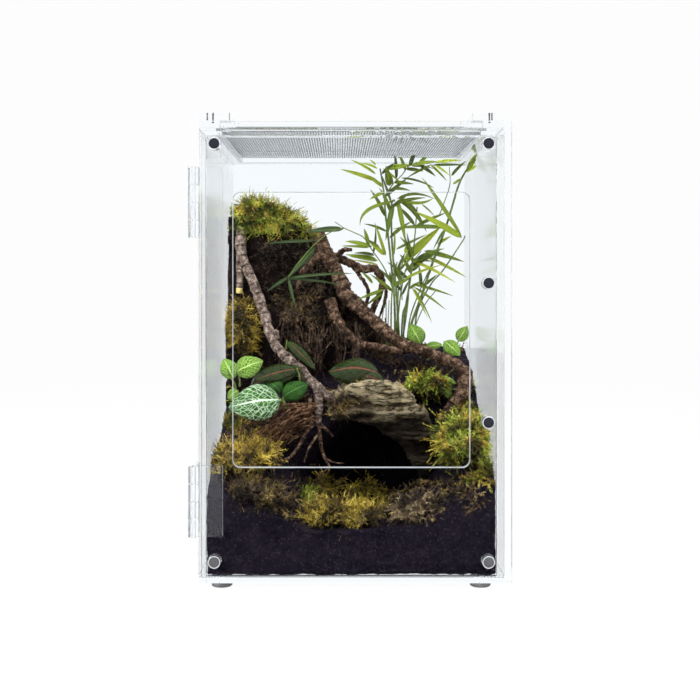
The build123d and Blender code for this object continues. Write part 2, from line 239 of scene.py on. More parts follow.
def makeFloor():
    reach = studio["floorReach"]
    profile = [(-reach, 0), (reach * 0.6, 0)]
    for step in range(1, 9):  # the sweep up to the wall behind
        turn = math.radians(90 * step / 8)
        profile.append((reach * 0.6 + 0.5 * math.sin(turn), 0.5 - 0.5 * math.cos(turn)))
    profile.append((reach * 0.6 + 0.5, reach))
    corners = [(x, y, z) for x in (-reach, reach) for y, z in profile]
    n = len(profile)
    faces = [(i, i + n, i + n + 1, i + 1) for i in range(n - 1)]
    paint = Paint("paleFloor")
    matt = paint.node("BsdfPrincipled", None, {
        "Base Color": (0.9, 0.9, 0.9), "Roughness": 0.9, "Specular IOR Level": 0.1})
    bright = paint.node("Emission", None, {"Color": (1, 1, 1), "Strength": 1.0})
    paint.show(paint.node("MixShader", None, {0: seenDirectly(paint) * 0.97, 1: matt, 2: bright}))
    floor = bpy.data.objects.new("floor", meshOf("floor", corners, faces))
    floor.data.materials.append(paint.material)
    floor.data.polygons.foreach_set("use_smooth", [True] * len(faces))
    bpy.context.scene.collection.objects.link(floor)


def addLamp(name, spot, target, size, power):
    lamp = bpy.data.lights.new(name, "AREA")
    lamp.shape, lamp.size, lamp.size_y = "RECTANGLE", size[0], size[1]
    lamp.energy = power
    held = bpy.data.objects.new(name, lamp)
    held.location = spot
    held.rotation_euler = (Vector(target) - Vector(spot)).to_track_quat("-Z", "Y").to_euler()
    bpy.context.scene.collection.objects.link(held)
    held.visible_glossy = False
    held.visible_transmission = False


makeRoom()
makeFloor()
addLamp("softLeft", (-0.9, -0.7, 0.8), (0, 0, 0.14), (0.7, 0.9), studio["leftLight"])
addLamp("softRight", (0.9, -0.8, 0.7), (0, 0, 0.14), (0.6, 0.9), studio["rightLight"])
addLamp("topSoft", (0.0, -0.1, 1.1), (0, 0, 0.1), (0.7, 0.7), studio["topLight"])
print("terrarium: camera, floor and light")


acrylic = {"shrink": 0.03, "chamfer": 0.35, "tint": (0.975, 0.99, 1.0), "index": 1.49,
           "hingeTint": (0.955, 0.97, 0.985), "hazeAtGlance": 0.22, "fadeAtGlance": 0.74}


def clearPaint(name, tint, clear=1.0, haze=0.0, fade=0.0):  # both show at glancing angles
    paint = Paint(name)
    rough, alpha = 0.0, 1.0
    if haze:
        facing = paint.node("LayerWeight", None, {"Blend": 0.5}, "Facing")
        glance = paint.stretch(facing, 0.75, 0.93)
        rough, alpha = glance * haze, 1 - glance * fade
    sheet = paint.node("BsdfPrincipled", None, {
        "Base Color": tint, "Transmission Weight": clear, "Roughness": rough,
        "IOR": acrylic["index"], "Specular Tint": (0.0, 0.0, 0.0), "Alpha": alpha})
    through = paint.node("BsdfTransparent", None, {"Color": (0.97, 0.98, 0.985)})
    shade = paint.node("LightPath", None, None, "Is Shadow Ray")
    soft = paint.node("LightPath", None, None, "Is Diffuse Ray")
    return paint.show(paint.node(
        "MixShader", None, {0: paint.clamped(shade + soft), 1: sheet, 2: through}))


def clearCopy(node, chamfer):
    made = weldedCopy(node)
    bmesh.ops.dissolve_limit(made, angle_limit=math.radians(1), verts=made.verts[:],
                             edges=made.edges[:])
    made.normal_update()
    moves = {}
    for corner in made.verts:  # each wall moves in by the same small step
        walls = []
        for face in corner.link_faces:
            for i, known in enumerate(walls):
                if known.normalized().dot(face.normal) > 0.8:
                    walls[i] = known + face.normal
                    break
            else:
                walls.append(face.normal.copy())
        moves[corner] = sum((w.normalized() for w in walls), Vector())
    for corner, move in moves.items():
        corner.co -= move * acrylic["shrink"] * mm
    sharp = [e for e in made.edges if len(e.link_faces) == 2 and e.calc_face_angle(0) > 0.9]
    bmesh.ops.bevel(made, geom=sharp, offset=chamfer * mm, offset_type="OFFSET", segments=1,
                    profile=0.5, affect="EDGES", clamp_overlap=True)
    mesh = bpy.data.meshes.new(node)
    made.to_mesh(mesh)
    made.free()
    mesh.set_sharp_from_angle(angle=math.radians(25))
    return mesh


def brighten(piece, paint, low, high, aside):  # sawn faces inside a box catch the light
    piece.data.materials.append(paint.material)
    for face in piece.data.polygons:
        spots = [piece.data.vertices[i].co for i in face.vertices]
        if abs(face.normal.y) < aside and all(
                low.x < spot.x < high.x and low.z < spot.z < high.z for spot in spots):
            face.material_index = 1


def makeCase():
    clear = clearPaint("clearAcrylic", acrylic["tint"])
    hazy = clearPaint("hazyAcrylic", acrylic["tint"], 1.0, acrylic["hazeAtGlance"],
                      acrylic["fadeAtGlance"])
    sawn = Paint("sawnAcrylic")
    sawn.finish({"Base Color": sawn.mix(sawn.grain(0.004), (0.62, 0.64, 0.66), (0.85, 0.87, 0.9)),
                 "Transmission Weight": 0.6, "IOR": acrylic["index"], "Roughness": 0.35})
    smoky = clearPaint("hingeAcrylic", acrylic["hingeTint"], 0.983)
    fixed = ["base_panel", "left_wall", "right_wall", "back_wall", "front_frame", "top_frame",
             "left_rail_spacer", "right_rail_spacer", "left_rail_cap", "right_rail_cap",
             "upper_hinge_case_leaf", "lower_hinge_case_leaf"]
    swinging = ["door_panel", "upper_hinge_door_leaf", "lower_hinge_door_leaf"]
    for body, nodes in (("root", fixed), ("door", swinging), ("cover", ["top_cover"])):
        for node in nodes:
            hinge = "hinge" in node
            paint = smoky if hinge else hazy if node in ("left_wall", "right_wall") else clear
            piece = addPiece(node + "_clear",
                             clearCopy(node, acrylic["chamfer"] * (0.5 if hinge else 1.0)),
                             paint, body, True, [node])
            if node == "front_frame":
                brighten(piece, sawn, atCase(-78.2, 0, 75.3), atCase(78.2, 0, 256.7), 2)
            if "door_leaf" in node:
                brighten(piece, sawn, atCase(-97, 0, 0), atCase(0, 0, 300), 0.9)
    for node in ("upper_hinge_pin", "lower_hinge_pin"):
        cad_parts[node].data.materials[0] = smoky.material


makeCase()
print("terrarium: clear case")


vent = {"pitch": 1.8, "rowPitch": 3.6, "weft": 0.08, "warp": 0.27, "wave": 0.1}
discs = {"rim": 0.5, "sink": 0.12, "ease": 0.25}


def makeVentNet():
    low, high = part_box("mesh_screen")
    left, near, far = low.x + 0.05 * mm, low.y + 0.05 * mm, high.y - 0.05 * mm
    right = high.x - 0.05 * mm
    level = (low.z + high.z) / 2
    corners, faces = [], []

    def wire(along, across, start, end, flip):
        thick, gap = ((vent["weft"], vent["pitch"]) if along == 0
                      else (vent["warp"], vent["rowPitch"]))
        thick *= mm
        count = int(round((end[along] - start[along]) / (gap * mm)))
        first = len(corners)
        for i in range(count + 1):
            spot = start.lerp(end, i / count)
            lift = vent["wave"] * mm * (1 if (i + flip) % 2 else -1)
            for turn in range(3):
                angle = math.radians(90 + 120 * turn)
                ring = spot.copy()
                ring[across] += thick * math.cos(angle)
                ring.z += lift + thick * math.sin(angle)
                corners.append(ring)
        for i in range(count):
            for turn in range(3):
                a, b = first + 3 * i + turn, first + 3 * i + (turn + 1) % 3
                faces.append((a, b, b + 3, a + 3))
        faces.append((first, first + 2, first + 1))
        last = first + 3 * count
        faces.append((last, last + 1, last + 2))

    rows = int((far - near) / (vent["rowPitch"] * mm))
    for i in range(rows + 1):
        y = near + (far - near) * i / rows
        wire(0, 1, Vector((left, y, level)), Vector((right, y, level)), i)
    columns = int((right - left) / (vent["pitch"] * mm))
    for i in range(columns + 1):
        x = left + (right - left) * i / columns
        wire(1, 0, Vector((x, near, level)), Vector((x, far, level)), i + 1)
    paint = Paint("wovenSteel")
    shade = paint.twoTone(paint.grain(0.006), (0.08, 0.083, 0.087), (0.17, 0.174, 0.18))
    paint.finish({"Base Color": shade, "Metallic": 0.2, "Specular IOR Level": 0.2,
                  "Roughness": paint.stretch(paint.grain(0.002), 0.2, 0.9) * 0.25 + 0.4})
    addPiece("vent_net", meshOf("vent_net", corners, faces), paint, "root", False,
             ["mesh_screen"])


def turned(profile, spot, axis, sides=40):  # a ring of profile points (radius, height) round an axis
    axis = Vector(axis).normalized()
    side = axis.orthogonal().normalized()
    other = axis.cross(side)
    corners, faces = [], []
    for radius, height in profile:
        for i in range(sides):
            angle = 2 * math.pi * i / sides
            corners.append(spot + axis * height
                           + (side * math.cos(angle) + other * math.sin(angle)) * radius)
    for row in range(len(profile) - 1):
        for i in range(sides):
            a, b = row * sides + i, row * sides + (i + 1) % sides
            faces.append((a, b, b + sides, a + sides))
    faces.append(tuple(range(sides))[::-1])
    faces.append(tuple(range((len(profile) - 1) * sides, len(profile) * sides)))
    return corners, faces


def joined(pieces):  # several (corners, faces) as one
    corners, faces = [], []
    for more, theirs in pieces:
        first = len(corners)
        corners += list(more)
        faces += [tuple(i + first for i in face) for face in theirs]
    return corners, faces


def makeMagnets():
    black = Paint("blackMagnet")
    dust = black.stretch(black.grain(0.0007, 3.0), 0.55, 0.8)
    paintedReflection = black.stretch(black.level(), atCase(0, 0, 30).z, atCase(0, 0, 18).z)  # painted reflection: the low ones are mixed to a lighter grey
    tone = black.mix(dust, (0.014, 0.014, 0.022), (0.05, 0.05, 0.065))
    black.finish({"Base Color": black.mix(paintedReflection * 0.85, tone, (0.105, 0.105, 0.11)),
                  "Metallic": 0.2, "Roughness": dust * 0.2 + 0.42, "Specular IOR Level": 0.25,
                  "Normal": black.bump(black.grain(0.0005), 0.00006, 0.5)})
    rim = Paint("brightRim")
    rim.finish({"Base Color": rim.twoTone(rim.grain(0.002), (0.50, 0.51, 0.54), (0.74, 0.75, 0.78)),
                "Metallic": 0.2, "Roughness": 0.35})
    centres = [(side * 89.3, 15 + 90.8 * row) for side in (-1, 1) for row in range(4)
               if side > 0 or row in (0, 3)]
    for node, body, y0, y1 in (("frame_magnets", "root", 0.0, 5.0),
                               ("door_magnets", "door", -5.2, -0.2)):
        inner, outer = 4.0 - discs["rim"], 4.0
        cores, rims = [], []
        for x, z in centres:
            front, length = atCase(x, y0, z), (y1 - y0) * mm
            profile = [(inner - discs["ease"], discs["sink"]), (inner, discs["sink"] * 2),
                       (inner, length / mm - discs["sink"] * 2),
                       (inner - discs["ease"], length / mm - discs["sink"])]
            cores.append(turned([(r * mm, h * mm) for r, h in profile], front, (0, 1, 0)))
            ends = [(inner + 0.04, 0.1), (outer - 0.15, 0.02), (outer, 0.2)]
            wall = ends + [(r, length / mm - h) for r, h in reversed(ends)]
            corners, faces = turned([(r * mm, h * mm) for r, h in wall], front, (0, 1, 0))
            sides = 40
            tube = faces[:-2]
            last = (len(wall) - 1) * sides
            tube += [(i, (i + 1) % sides, last + (i + 1) % sides, last + i)[::-1]
                     for i in range(sides)]
            rims.append((corners, tube))
        addPiece(node + "_cores", meshOf(node + "_cores", *joined(cores)), black, body, True,
                 [node]).data.set_sharp_from_angle(angle=0.6)
        addPiece(node + "_rims", meshOf(node + "_rims", *joined(rims)), rim, body, True, ()).data.set_sharp_from_angle(angle=0.6)


def makeFeet():
    rubber = Paint("greyRubber")
    scuff = rubber.stretch(rubber.grain(0.004), 0.4, 0.75)
    rubber.finish({"Base Color": rubber.mix(scuff, (0.11, 0.11, 0.115), (0.24, 0.24, 0.245)),
                   "Roughness": scuff * 0.2 + 0.55,
                   "Normal": rubber.bump(rubber.grain(0.0006), 0.0001, 0.4)})
    profile = [(5.6, -5.0), (6.4, -4.85), (6.9, -4.3), (7.0, -3.6), (7.0, -1.0), (6.6, -0.6),
               (6.6, -0.02)]
    made = []
    for x in (-86, 86):
        for y in (14, 186):
            made.append(turned([(r * mm, h * mm) for r, h in profile], atCase(x, y, 0),
                               (0, 0, 1)))
    addPiece("round_feet", meshOf("round_feet", *joined(made)), rubber, "root", True, ["feet"]).data.set_sharp_from_angle(angle=0.9)
    steel = Paint("darkPin")
    steel.finish({"Base Color": (0.16, 0.16, 0.17), "Metallic": 0.8,
                  "Roughness": steel.grain(0.001) * 0.3 + 0.25})
    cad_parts["rail_pins"].data.materials[0] = steel.material


makeVentNet()
makeMagnets()
makeFeet()
print("terrarium: net, magnets and feet")


ground = {"voxel": 1.5, "peatVoxel": 1.2, "swell": 1.2, "lumps": 0.9, "peatSwell": 2.8,
          "peatLumps": 2.0, "peatCrumbs": 0.9, "crumb": 1.6}
roomLow, roomHigh = atCase(-95, 5, 5), atCase(95, 195, 293)


def heldInRoom(points, gap=0.12):
    return np.clip(points, np.array(roomLow) + gap * mm, np.array(roomHigh) - gap * mm)


def evenMesh(node, voxel):  # the node's shape in small even faces
    made = weldedCopy(node)
    mesh = bpy.data.meshes.new("even")
    made.to_mesh(mesh)
    made.free()
    held = bpy.data.objects.new("even", mesh)
    bpy.context.scene.collection.objects.link(held)
    change = held.modifiers.new("even", "REMESH")
    change.mode, change.voxel_size = "VOXEL", voxel * mm
    seen = held.evaluated_get(bpy.context.evaluated_depsgraph_get())
    out = bpy.data.meshes.new_from_object(seen)
    bpy.data.objects.remove(held)
    return out


def readMesh(mesh):
    points = np.empty(len(mesh.vertices) * 3, np.float32)
    mesh.vertices.foreach_get("co", points)
    facing = np.empty(len(mesh.vertices) * 3, np.float32)
    mesh.vertices.foreach_get("normal", facing)
    return points.reshape(-1, 3).astype(float), facing.reshape(-1, 3).astype(float)


def waves(points, size, octaves=4, stretch=(1, 1, 1)):
    scale = np.array(stretch) / (size * mm)
    return np.array([noise.fractal(Vector(p * scale), 0.9, 2.1, octaves) for p in points])


def roughen(mesh, heights):  # heights in millimetres along each point's normal
    points, facing = readMesh(mesh)
    points = heldInRoom(points + facing * (heights * mm)[:, None])
    mesh.vertices.foreach_set("co", points.ravel())
    held = mesh.attributes.new("height", "FLOAT", "POINT")
    held.data.foreach_set("value", heights.astype(np.float32))
    mesh.update()
    return mesh


def soilPaint(name, dark, brown, fleck, fibre):  # the mesh says where painted cave shade darkens it
    paint = Paint(name)
    small, large = paint.grain(0.0022, 5.0, 0.65), paint.grain(0.012, 3.0)
    tone = paint.ramp(small * 0.7 + large * 0.35, (0.35, dark), (0.56, brown), (0.75, fibre))
    crumb = ground["crumb"] * mm
    crumbs, chosen = paint.cells(crumb), paint.cells(crumb, "Color")
    lucky = paint.node("SeparateColor", None, {"Color": chosen}) > 0.86
    speck = lucky * (crumbs < 0.38)
    tone = paint.mix(speck * 0.8, tone, fleck)
    # painted shade: near black where the mesh's cave shade value is high
    tone = paint.mix(paint.spread("damp") * 0.93, tone, (0.0015, 0.001, 0.002))
    dry = paint.stretch(large, 0.3, 0.7)
    return paint.finish({"Base Color": tone, "Roughness": dry * 0.3 + 0.55,
                         "Specular IOR Level": 0.06,
                         "Normal": paint.bump(small + crumbs * 0.5, 0.0012, 0.9)})


def paintCaveShade(mesh, centre, reach):  # painted shade: the ground of the cave is darkened to near black
    points, _ = readMesh(mesh)
    away = np.linalg.norm((points - np.array(centre)) / (np.array(reach) * mm), axis=1)
    held = mesh.attributes.new("damp", "FLOAT", "POINT")
    held.data.foreach_set("value", np.clip((1.15 - away) * 3, 0, 1).astype(np.float32))


def makeGround():
    soil = evenMesh("substrate", ground["voxel"])
    points, _ = readMesh(soil)
    heights = waves(points, 16) * ground["swell"] + waves(points, 4.5) * ground["lumps"]
    roughen(soil, heights)
    # painted shade in the cave under the bark
    paintCaveShade(soil, atCase(16, 96, 52), (52, 82, 42))
    dark = soilPaint("soilWithCaveShade", (0.002, 0.0015, 0.004), (0.012, 0.0088, 0.015),
                     (0.040, 0.028, 0.030), (0.030, 0.019, 0.021))
    addPiece("soil_bed", soil, dark, "root", True, ["substrate"])
    peat = evenMesh("peat_mound", ground["peatVoxel"])
    points, _ = readMesh(peat)
    heights = (waves(points, 20) * ground["peatSwell"]
               + waves(points, 6, 4, (1, 1, 0.5)) * ground["peatLumps"]
               + waves(points, 2.6, 2) * ground["peatCrumbs"])
    roughen(peat, heights)
    block = soilPaint("peatBlock", (0.004, 0.003, 0.004), (0.016, 0.010, 0.009),
                      (0.085, 0.056, 0.036), (0.046, 0.028, 0.019))
    addPiece("peat_block", peat, block, "root", True, ["peat_mound"])
    return soil, peat


def makeBark():
    bark = evenMesh("cork_bark_hide", 0.8)
    points, facing = readMesh(bark)
    flow = points + np.stack([waves(points, 18), waves(points + 0.3, 18),
                              waves(points + 0.7, 18)], 1) * 2.0 * mm
    long = 1 - 2 * np.abs(waves(flow, 8, 3, (0.35, 1.0, 1.5)))
    steps = waves(flow, 15, 4, (0.3, 1.0, 1.6)) * 8
    shelf = np.floor(steps) + np.clip((steps - np.floor(steps)) * 4, 0, 1)
    ridges = 1 - 2 * np.abs(waves(flow + 0.11, 4.2, 3, (0.3, 1.0, 1.7)))
    heights = (long * 1.4 + shelf * 0.8 + ridges * 0.9 + waves(points, 24, 2) * 3.0
               + waves(points, 2.0, 3, (0.4, 1, 1.4)) * 0.8)
    under = facing[:, 2] < -0.25
    heights[under] *= 0.6
    roughen(bark, np.clip(heights - 1.6, -5.2, 3.2))
    paint = Paint("corkBark")
    # painted shade and highlight: sunken bark is darkened towards near black, raised ridges are paler
    height = paint.stretch(paint.spread("height"), -4.4, 2.0)
    fine = paint.grain(0.0015, 5.0, 0.65, paint.place(0.25, 1.0, 1.4))
    tone = paint.ramp(height * 0.8 + fine * 0.55, (0.38, (0.010, 0.007, 0.005)),
                      (0.54, (0.060, 0.040, 0.024)), (0.72, (0.17, 0.122, 0.070)),
                      (0.93, (0.40, 0.325, 0.195)))
    wander = paint.grain(0.009, 4.0, 0.6, paint.place(0.35, 1.0, 1.7))
    seams = paint.stretch(abs(wander - 0.5), 0.032, 0.006)
    tone = paint.mix(seams * 0.85, tone, (0.010, 0.007, 0.005))
    stain = paint.stretch(paint.grain(0.010), 0.5, 0.64)
    tone = paint.mix(stain * 0.7, tone, (0.045, 0.031, 0.022))
    # painted shade: darker towards the bottom of the bark, where it falls in shadow
    low = paint.stretch(paint.level() + paint.grain(0.02) * 0.02, atCase(0, 0, 125).z, atCase(0, 0, 103).z)
    tone = paint.mix(low * 0.92, tone, (0.010, 0.008, 0.007))
    paint.finish({"Base Color": tone, "Roughness": 0.88, "Specular IOR Level": 0.1,
                  "Normal": paint.bump(fine - seams * 0.4, 0.0016, 1.0)})
    addPiece("cork_bark", bark, paint, "root", True, ["cork_bark_hide"])
    return bark


soilMesh, peatMesh = makeGround()
barkMesh = makeBark()
print("terrarium: soil, peat and bark")


def smoothPath(points, radii, step):  # an even curve through the points
    spots = [np.array(p, float) for p in points]
    spots = [2 * spots[0] - spots[1]] + spots + [2 * spots[-1] - spots[-2]]
    radii = [radii[0]] + list(radii) + [radii[-1]]
    path, thick = [], []
    for i in range(1, len(spots) - 2):
        a, b, c, d = spots[i - 1:i + 3]
        count = max(2, int(np.linalg.norm(c - b) / step))
        for k in range(count + (i == len(spots) - 3)):
            t = k / count
            path.append(0.5 * (2 * b + (c - a) * t + (2 * a - 5 * b + 4 * c - d) * t ** 2
                               + (3 * b - a - 3 * c + d) * t ** 3))
            thick.append(radii[i] + (radii[i + 1] - radii[i]) * t)
    return np.array(path), np.array(thick)


def roundLimb(points, radii, sides, step, knobs, seed):
    path, thick = smoothPath(points, [r * mm for r in radii], step * mm)
    ahead = np.gradient(path, axis=0)
    ahead /= np.linalg.norm(ahead, axis=1)[:, None]
    side = np.cross(ahead[0], (0.3, 0.8, 0.5))
    along = np.concatenate([[0], np.cumsum(np.linalg.norm(np.diff(path, axis=0), axis=1))])
    corners, faces, lengths = [], [], []
    for i, (spot, way, radius) in enumerate(zip(path, ahead, thick)):
        side = side - way * side.dot(way)
        side /= np.linalg.norm(side)
        other = np.cross(way, side)
        ring = 1 + 0.07 * max(0.0, math.cos(along[i] / (radius * 3.1) * 2 * math.pi)) ** 6
        for k in range(sides):
            angle = 2 * math.pi * k / sides
            out = side * math.cos(angle) + other * math.sin(angle)
            probe = Vector(spot + out * radius) + Vector((seed, seed, seed))
            swell = noise.fractal(probe / (radius * 1.7), 1.0, 2.0, 3) * knobs * 1.6
            swell += noise.fractal(probe / (1.6 * mm), 1.0, 2.0, 2) * knobs * 0.55
            corners.append(spot + out * radius * ring * (1 + swell))
            lengths.append(along[i])
    for i in range(len(path) - 1):
        for k in range(sides):
            a, b = i * sides + k, i * sides + (k + 1) % sides
            faces.append((a, b, b + sides, a + sides))
    faces.append(tuple(range(sides))[::-1])
    faces.append(tuple(range((len(path) - 1) * sides, len(path) * sides)))
    return heldInRoom(np.array(corners)), faces, lengths


def barkPaint(name, dark, mid, pale):
    paint = Paint(name)
    along = paint.spread("along")
    rough, fine = paint.grain(0.0032, 5.0, 0.65), paint.grain(0.0009, 4.0)
    wander = along + rough * 0.004
    ring = paint.maths("SINE", wander * (2 * math.pi / 0.0085))
    crack = paint.stretch(ring, 0.86, 0.98) * paint.stretch(paint.grain(0.003), 0.34, 0.52)
    tone = paint.ramp(rough * 0.75 + fine * 0.35, (0.40, dark), (0.54, mid), (0.68, pale))
    tone = paint.mix(crack * 0.85, tone, (0.02, 0.014, 0.012))
    blotch = paint.stretch(paint.grain(0.013, 3.0), 0.5, 0.66)
    tone = paint.mix(blotch * 0.65, tone, dark)
    knot = paint.cells(0.0045) < 0.16
    tone = paint.mix(knot * 0.6, tone, (0.04, 0.028, 0.022))
    return paint.finish({"Base Color": tone, "Roughness": 0.82, "Specular IOR Level": 0.12,
                         "Normal": paint.bump(rough * 0.7 + fine * 0.5 - crack * 0.5,
                                              0.0016, 1.0)})


def addLimbs(name, limbs, paint, stands, knobs=0.12):
    pieces, lengths = [], []
    for i, (points, radii, sides) in enumerate(limbs):
        step = 0.8 if max(radii) < 2.5 else 1.1
        corners, faces, along = roundLimb(points, radii, sides, step, knobs, 0.01 * i)
        pieces.append((corners, faces))
        lengths += along
    corners, faces = joined(pieces)
    addPiece(name, meshOf(name, corners, faces, {"along": lengths}), paint, "root", True,
             stands)


def pixelPath(*spots):  # (px, py, depth) triples
    return [atPixel(*spot) for spot in spots]


roots = {"curtain": 95, "fan": 60}  # how many fine ones


def makeBranches():
    branch = barkPaint("branchBark", (0.035, 0.024, 0.020), (0.165, 0.115, 0.090),
                       (0.50, 0.40, 0.335))
    root = barkPaint("rootBark", (0.011, 0.007, 0.005), (0.075, 0.043, 0.028),
                     (0.34, 0.215, 0.14))
    left = pixelPath((240, 219, 158), (241, 232, 151), (241, 247, 146), (244, 262, 142),
                     (250, 275, 138), (256, 290, 133), (263, 310, 127), (269, 330, 120),
                     (276, 345, 113), (286, 357, 106), (300, 370, 98), (311, 381, 92),
                     (322, 391, 86), (336, 399, 82), (349, 407, 77))
    stub = pixelPath((240.5, 252, 144), (240, 266, 141), (240, 280, 139.5), (239.6, 288, 139))
    fork = pixelPath((286, 357, 106), (291, 362, 101), (303, 371, 99))
    down = pixelPath((316, 384, 90), (319, 398, 84), (319, 412, 79), (318, 424, 74))
    twig = pixelPath((271, 333, 118), (277, 331, 112), (279, 338, 108))
    addLimbs("left_branch_bark", [
        (left, [4.4, 4.3, 4.1, 4.0, 3.9, 3.8, 3.7, 3.7, 3.6, 3.7, 3.9, 3.6, 3.4, 3.0, 2.2], 16),
        (stub, [2.9, 2.9, 2.8, 2.7], 14), (fork, [1.6, 2.2, 1.6], 10),
        (down, [3.4, 3.3, 2.8, 2.0], 12), (twig, [1.4, 1.1, 0.7], 8)],
        branch, ["left_branch"], 0.15)
    cut = turned([(2.55 * mm, 0), (2.5 * mm, 1.1 * mm), (2.3 * mm, 3.9 * mm),
                  (2.0 * mm, 4.1 * mm)], atPixel(239.6, 288, 139),
                 atPixel(239.3, 294, 138.6) - atPixel(239.6, 288, 139), 20)
    sawn = Paint("sawnEnd")
    sawn.finish({"Base Color": sawn.twoTone(sawn.grain(0.001, 3.0), (0.62, 0.46, 0.12),
                                            (0.90, 0.76, 0.32)), "Roughness": 0.75})
    addPiece("sawn_end", meshOf("sawn_end", *cut), sawn, "root", True, ())
    right = pixelPath((316, 236, 156), (321, 247, 152), (328, 258, 149), (335, 269, 146),
                      (341, 282, 143), (346, 294, 141), (357, 305, 139), (370, 317, 137),
                      (382, 328, 134), (392, 337, 132), (404, 344, 130), (417, 349, 127),
                      (432, 354, 124), (446, 360, 120), (458, 366, 116), (465, 375, 112),
                      (464, 388, 107), (456, 401, 102), (446, 413, 98), (440, 424, 94))
    rightSizes = [7.0, 6.6, 6.0, 6.6, 6.0, 5.3, 5.2, 4.8, 4.5, 4.3, 4.6, 4.1, 4.2, 4.5, 4.4,
                  5.2, 5.0, 4.4, 3.6, 2.6]
    second = pixelPath((330, 300, 143), (336, 318, 137), (345, 333, 131), (358, 343, 126),
                       (374, 347, 124), (390, 349, 126), (402, 352, 127))
    third = pixelPath((322, 254, 150), (312, 262, 144), (302, 274, 140), (298, 288, 137))
    addLimbs("right_root_bark", [
        (right, rightSizes, 16), (second, [4.6, 4.4, 3.8, 3.4, 3.0, 2.6, 2.0], 12),
        (third, [3.4, 2.8, 2.2, 1.4], 10)], root, ["right_root"], 0.24)
    upper = pixelPath((318, 246, 162), (330, 254, 161), (338, 258, 160), (352, 264, 160),
                      (364, 269, 160), (374, 269, 160), (380, 275, 159), (382, 285, 158),
                      (379, 296, 157), (374, 306, 156), (371, 316, 154))
    prong = pixelPath((336, 257, 160), (344, 250, 158), (352, 250, 157))
    loop = pixelPath((352, 264, 160), (360, 276, 158), (368, 290, 156), (366, 306, 153))
    hang = pixelPath((380, 278, 159), (386, 290, 157), (384, 304, 156), (379, 318, 154))
    addLimbs("upper_root_bark", [
        (upper, [3.8, 3.6, 3.4, 3.2, 3.0, 3.2, 3.0, 2.6, 2.4, 2.2, 2.2], 14),
        (prong, [2.4, 2.0, 1.2], 10), (loop, [2.0, 1.6, 1.5, 1.3], 10),
        (hang, [1.6, 1.3, 1.2, 0.8], 8)], root, ["upper_root"], 0.24)
    thin = [
        (pixelPath((318, 418, 76), (320, 432, 72), (321, 446, 69), (325, 458, 66),
                   (329, 466, 63), (322, 473, 58), (317, 480, 54)),
         [2.2, 1.4, 1.2, 1.1, 0.8, 0.6, 0.5]),
        (pixelPath((315, 420, 76), (305, 434, 70), (299, 446, 65), (291, 456, 60),
                   (282, 461, 56), (275, 465, 53)), [2.0, 1.4, 1.2, 1.1, 0.8, 0.5]),
        (pixelPath((320, 424, 74), (327, 430, 71), (333, 436, 69)), [1.3, 1.1, 0.7]),
        (pixelPath((310, 398, 86), (311, 410, 81), (313, 424, 75)), [1.5, 1.4, 1.5]),
        (pixelPath((345, 405, 78), (352, 409, 74), (358, 411, 71)), [1.9, 1.4, 0.9]),
        (pixelPath((318, 434, 71), (309, 448, 66), (304, 462, 60)), [1.0, 0.8, 0.5]),
        (pixelPath((305, 434, 70), (296, 436, 67), (288, 444, 62)), [1.0, 0.8, 0.5]),
        (pixelPath((325, 458, 66), (334, 462, 62), (344, 463, 58)), [0.7, 0.5, 0.4]),
    ]
    addLimbs("thin_roots", [(points, radii, 7) for points, radii in thin], root,
             ["root_tangle"], 0.2)
    fibres, fan = [], []
    for _ in range(roots["curtain"]):  # a curtain of fine roots over the front of the mound
        px, py = dice.uniform(280, 362), dice.uniform(318, 352)
        depth = 129 - (py - 318) * 0.2 + dice.uniform(-3, 2)
        dx, dy = dice.normal(0, 7), dice.uniform(12, 34)
        fibres.append((pixelPath((px, py, depth + 2), (px + dx * 0.3, py + dy * 0.5, depth - 1),
                                 (px + dx, py + dy, depth - 6)), [0.6, 0.5, 0.3], 5))
    for _ in range(roots["fan"]):  # rootlets that fan down and left under the branch
        turn, reach = dice.uniform(2.3, 3.0), dice.uniform(26, 84)
        px, py, depth = dice.uniform(300, 318), dice.uniform(402, 426), dice.uniform(68, 82)
        x, y = px + reach * math.cos(turn), py + reach * math.sin(turn)
        fan.append((pixelPath((px, py, depth), ((px + x) / 2 + dice.normal(0, 4),
                                                (py + y) / 2 - dice.uniform(2, 9), depth - 6),
                              (x, y, depth - 0.28 * reach)), [0.75, 0.55, 0.3], 5))
    addLimbs("fine_roots", fibres, barkPaint("fineRoot", (0.012, 0.008, 0.007),
                                             (0.045, 0.028, 0.020), (0.16, 0.105, 0.07)),
             ())
    addLimbs("rusty_roots", fan, barkPaint("rustyRoot", (0.035, 0.016, 0.010),
                                           (0.13, 0.066, 0.036), (0.32, 0.18, 0.10)),
             ())


makeBranches()
print("terrarium: branches and roots")


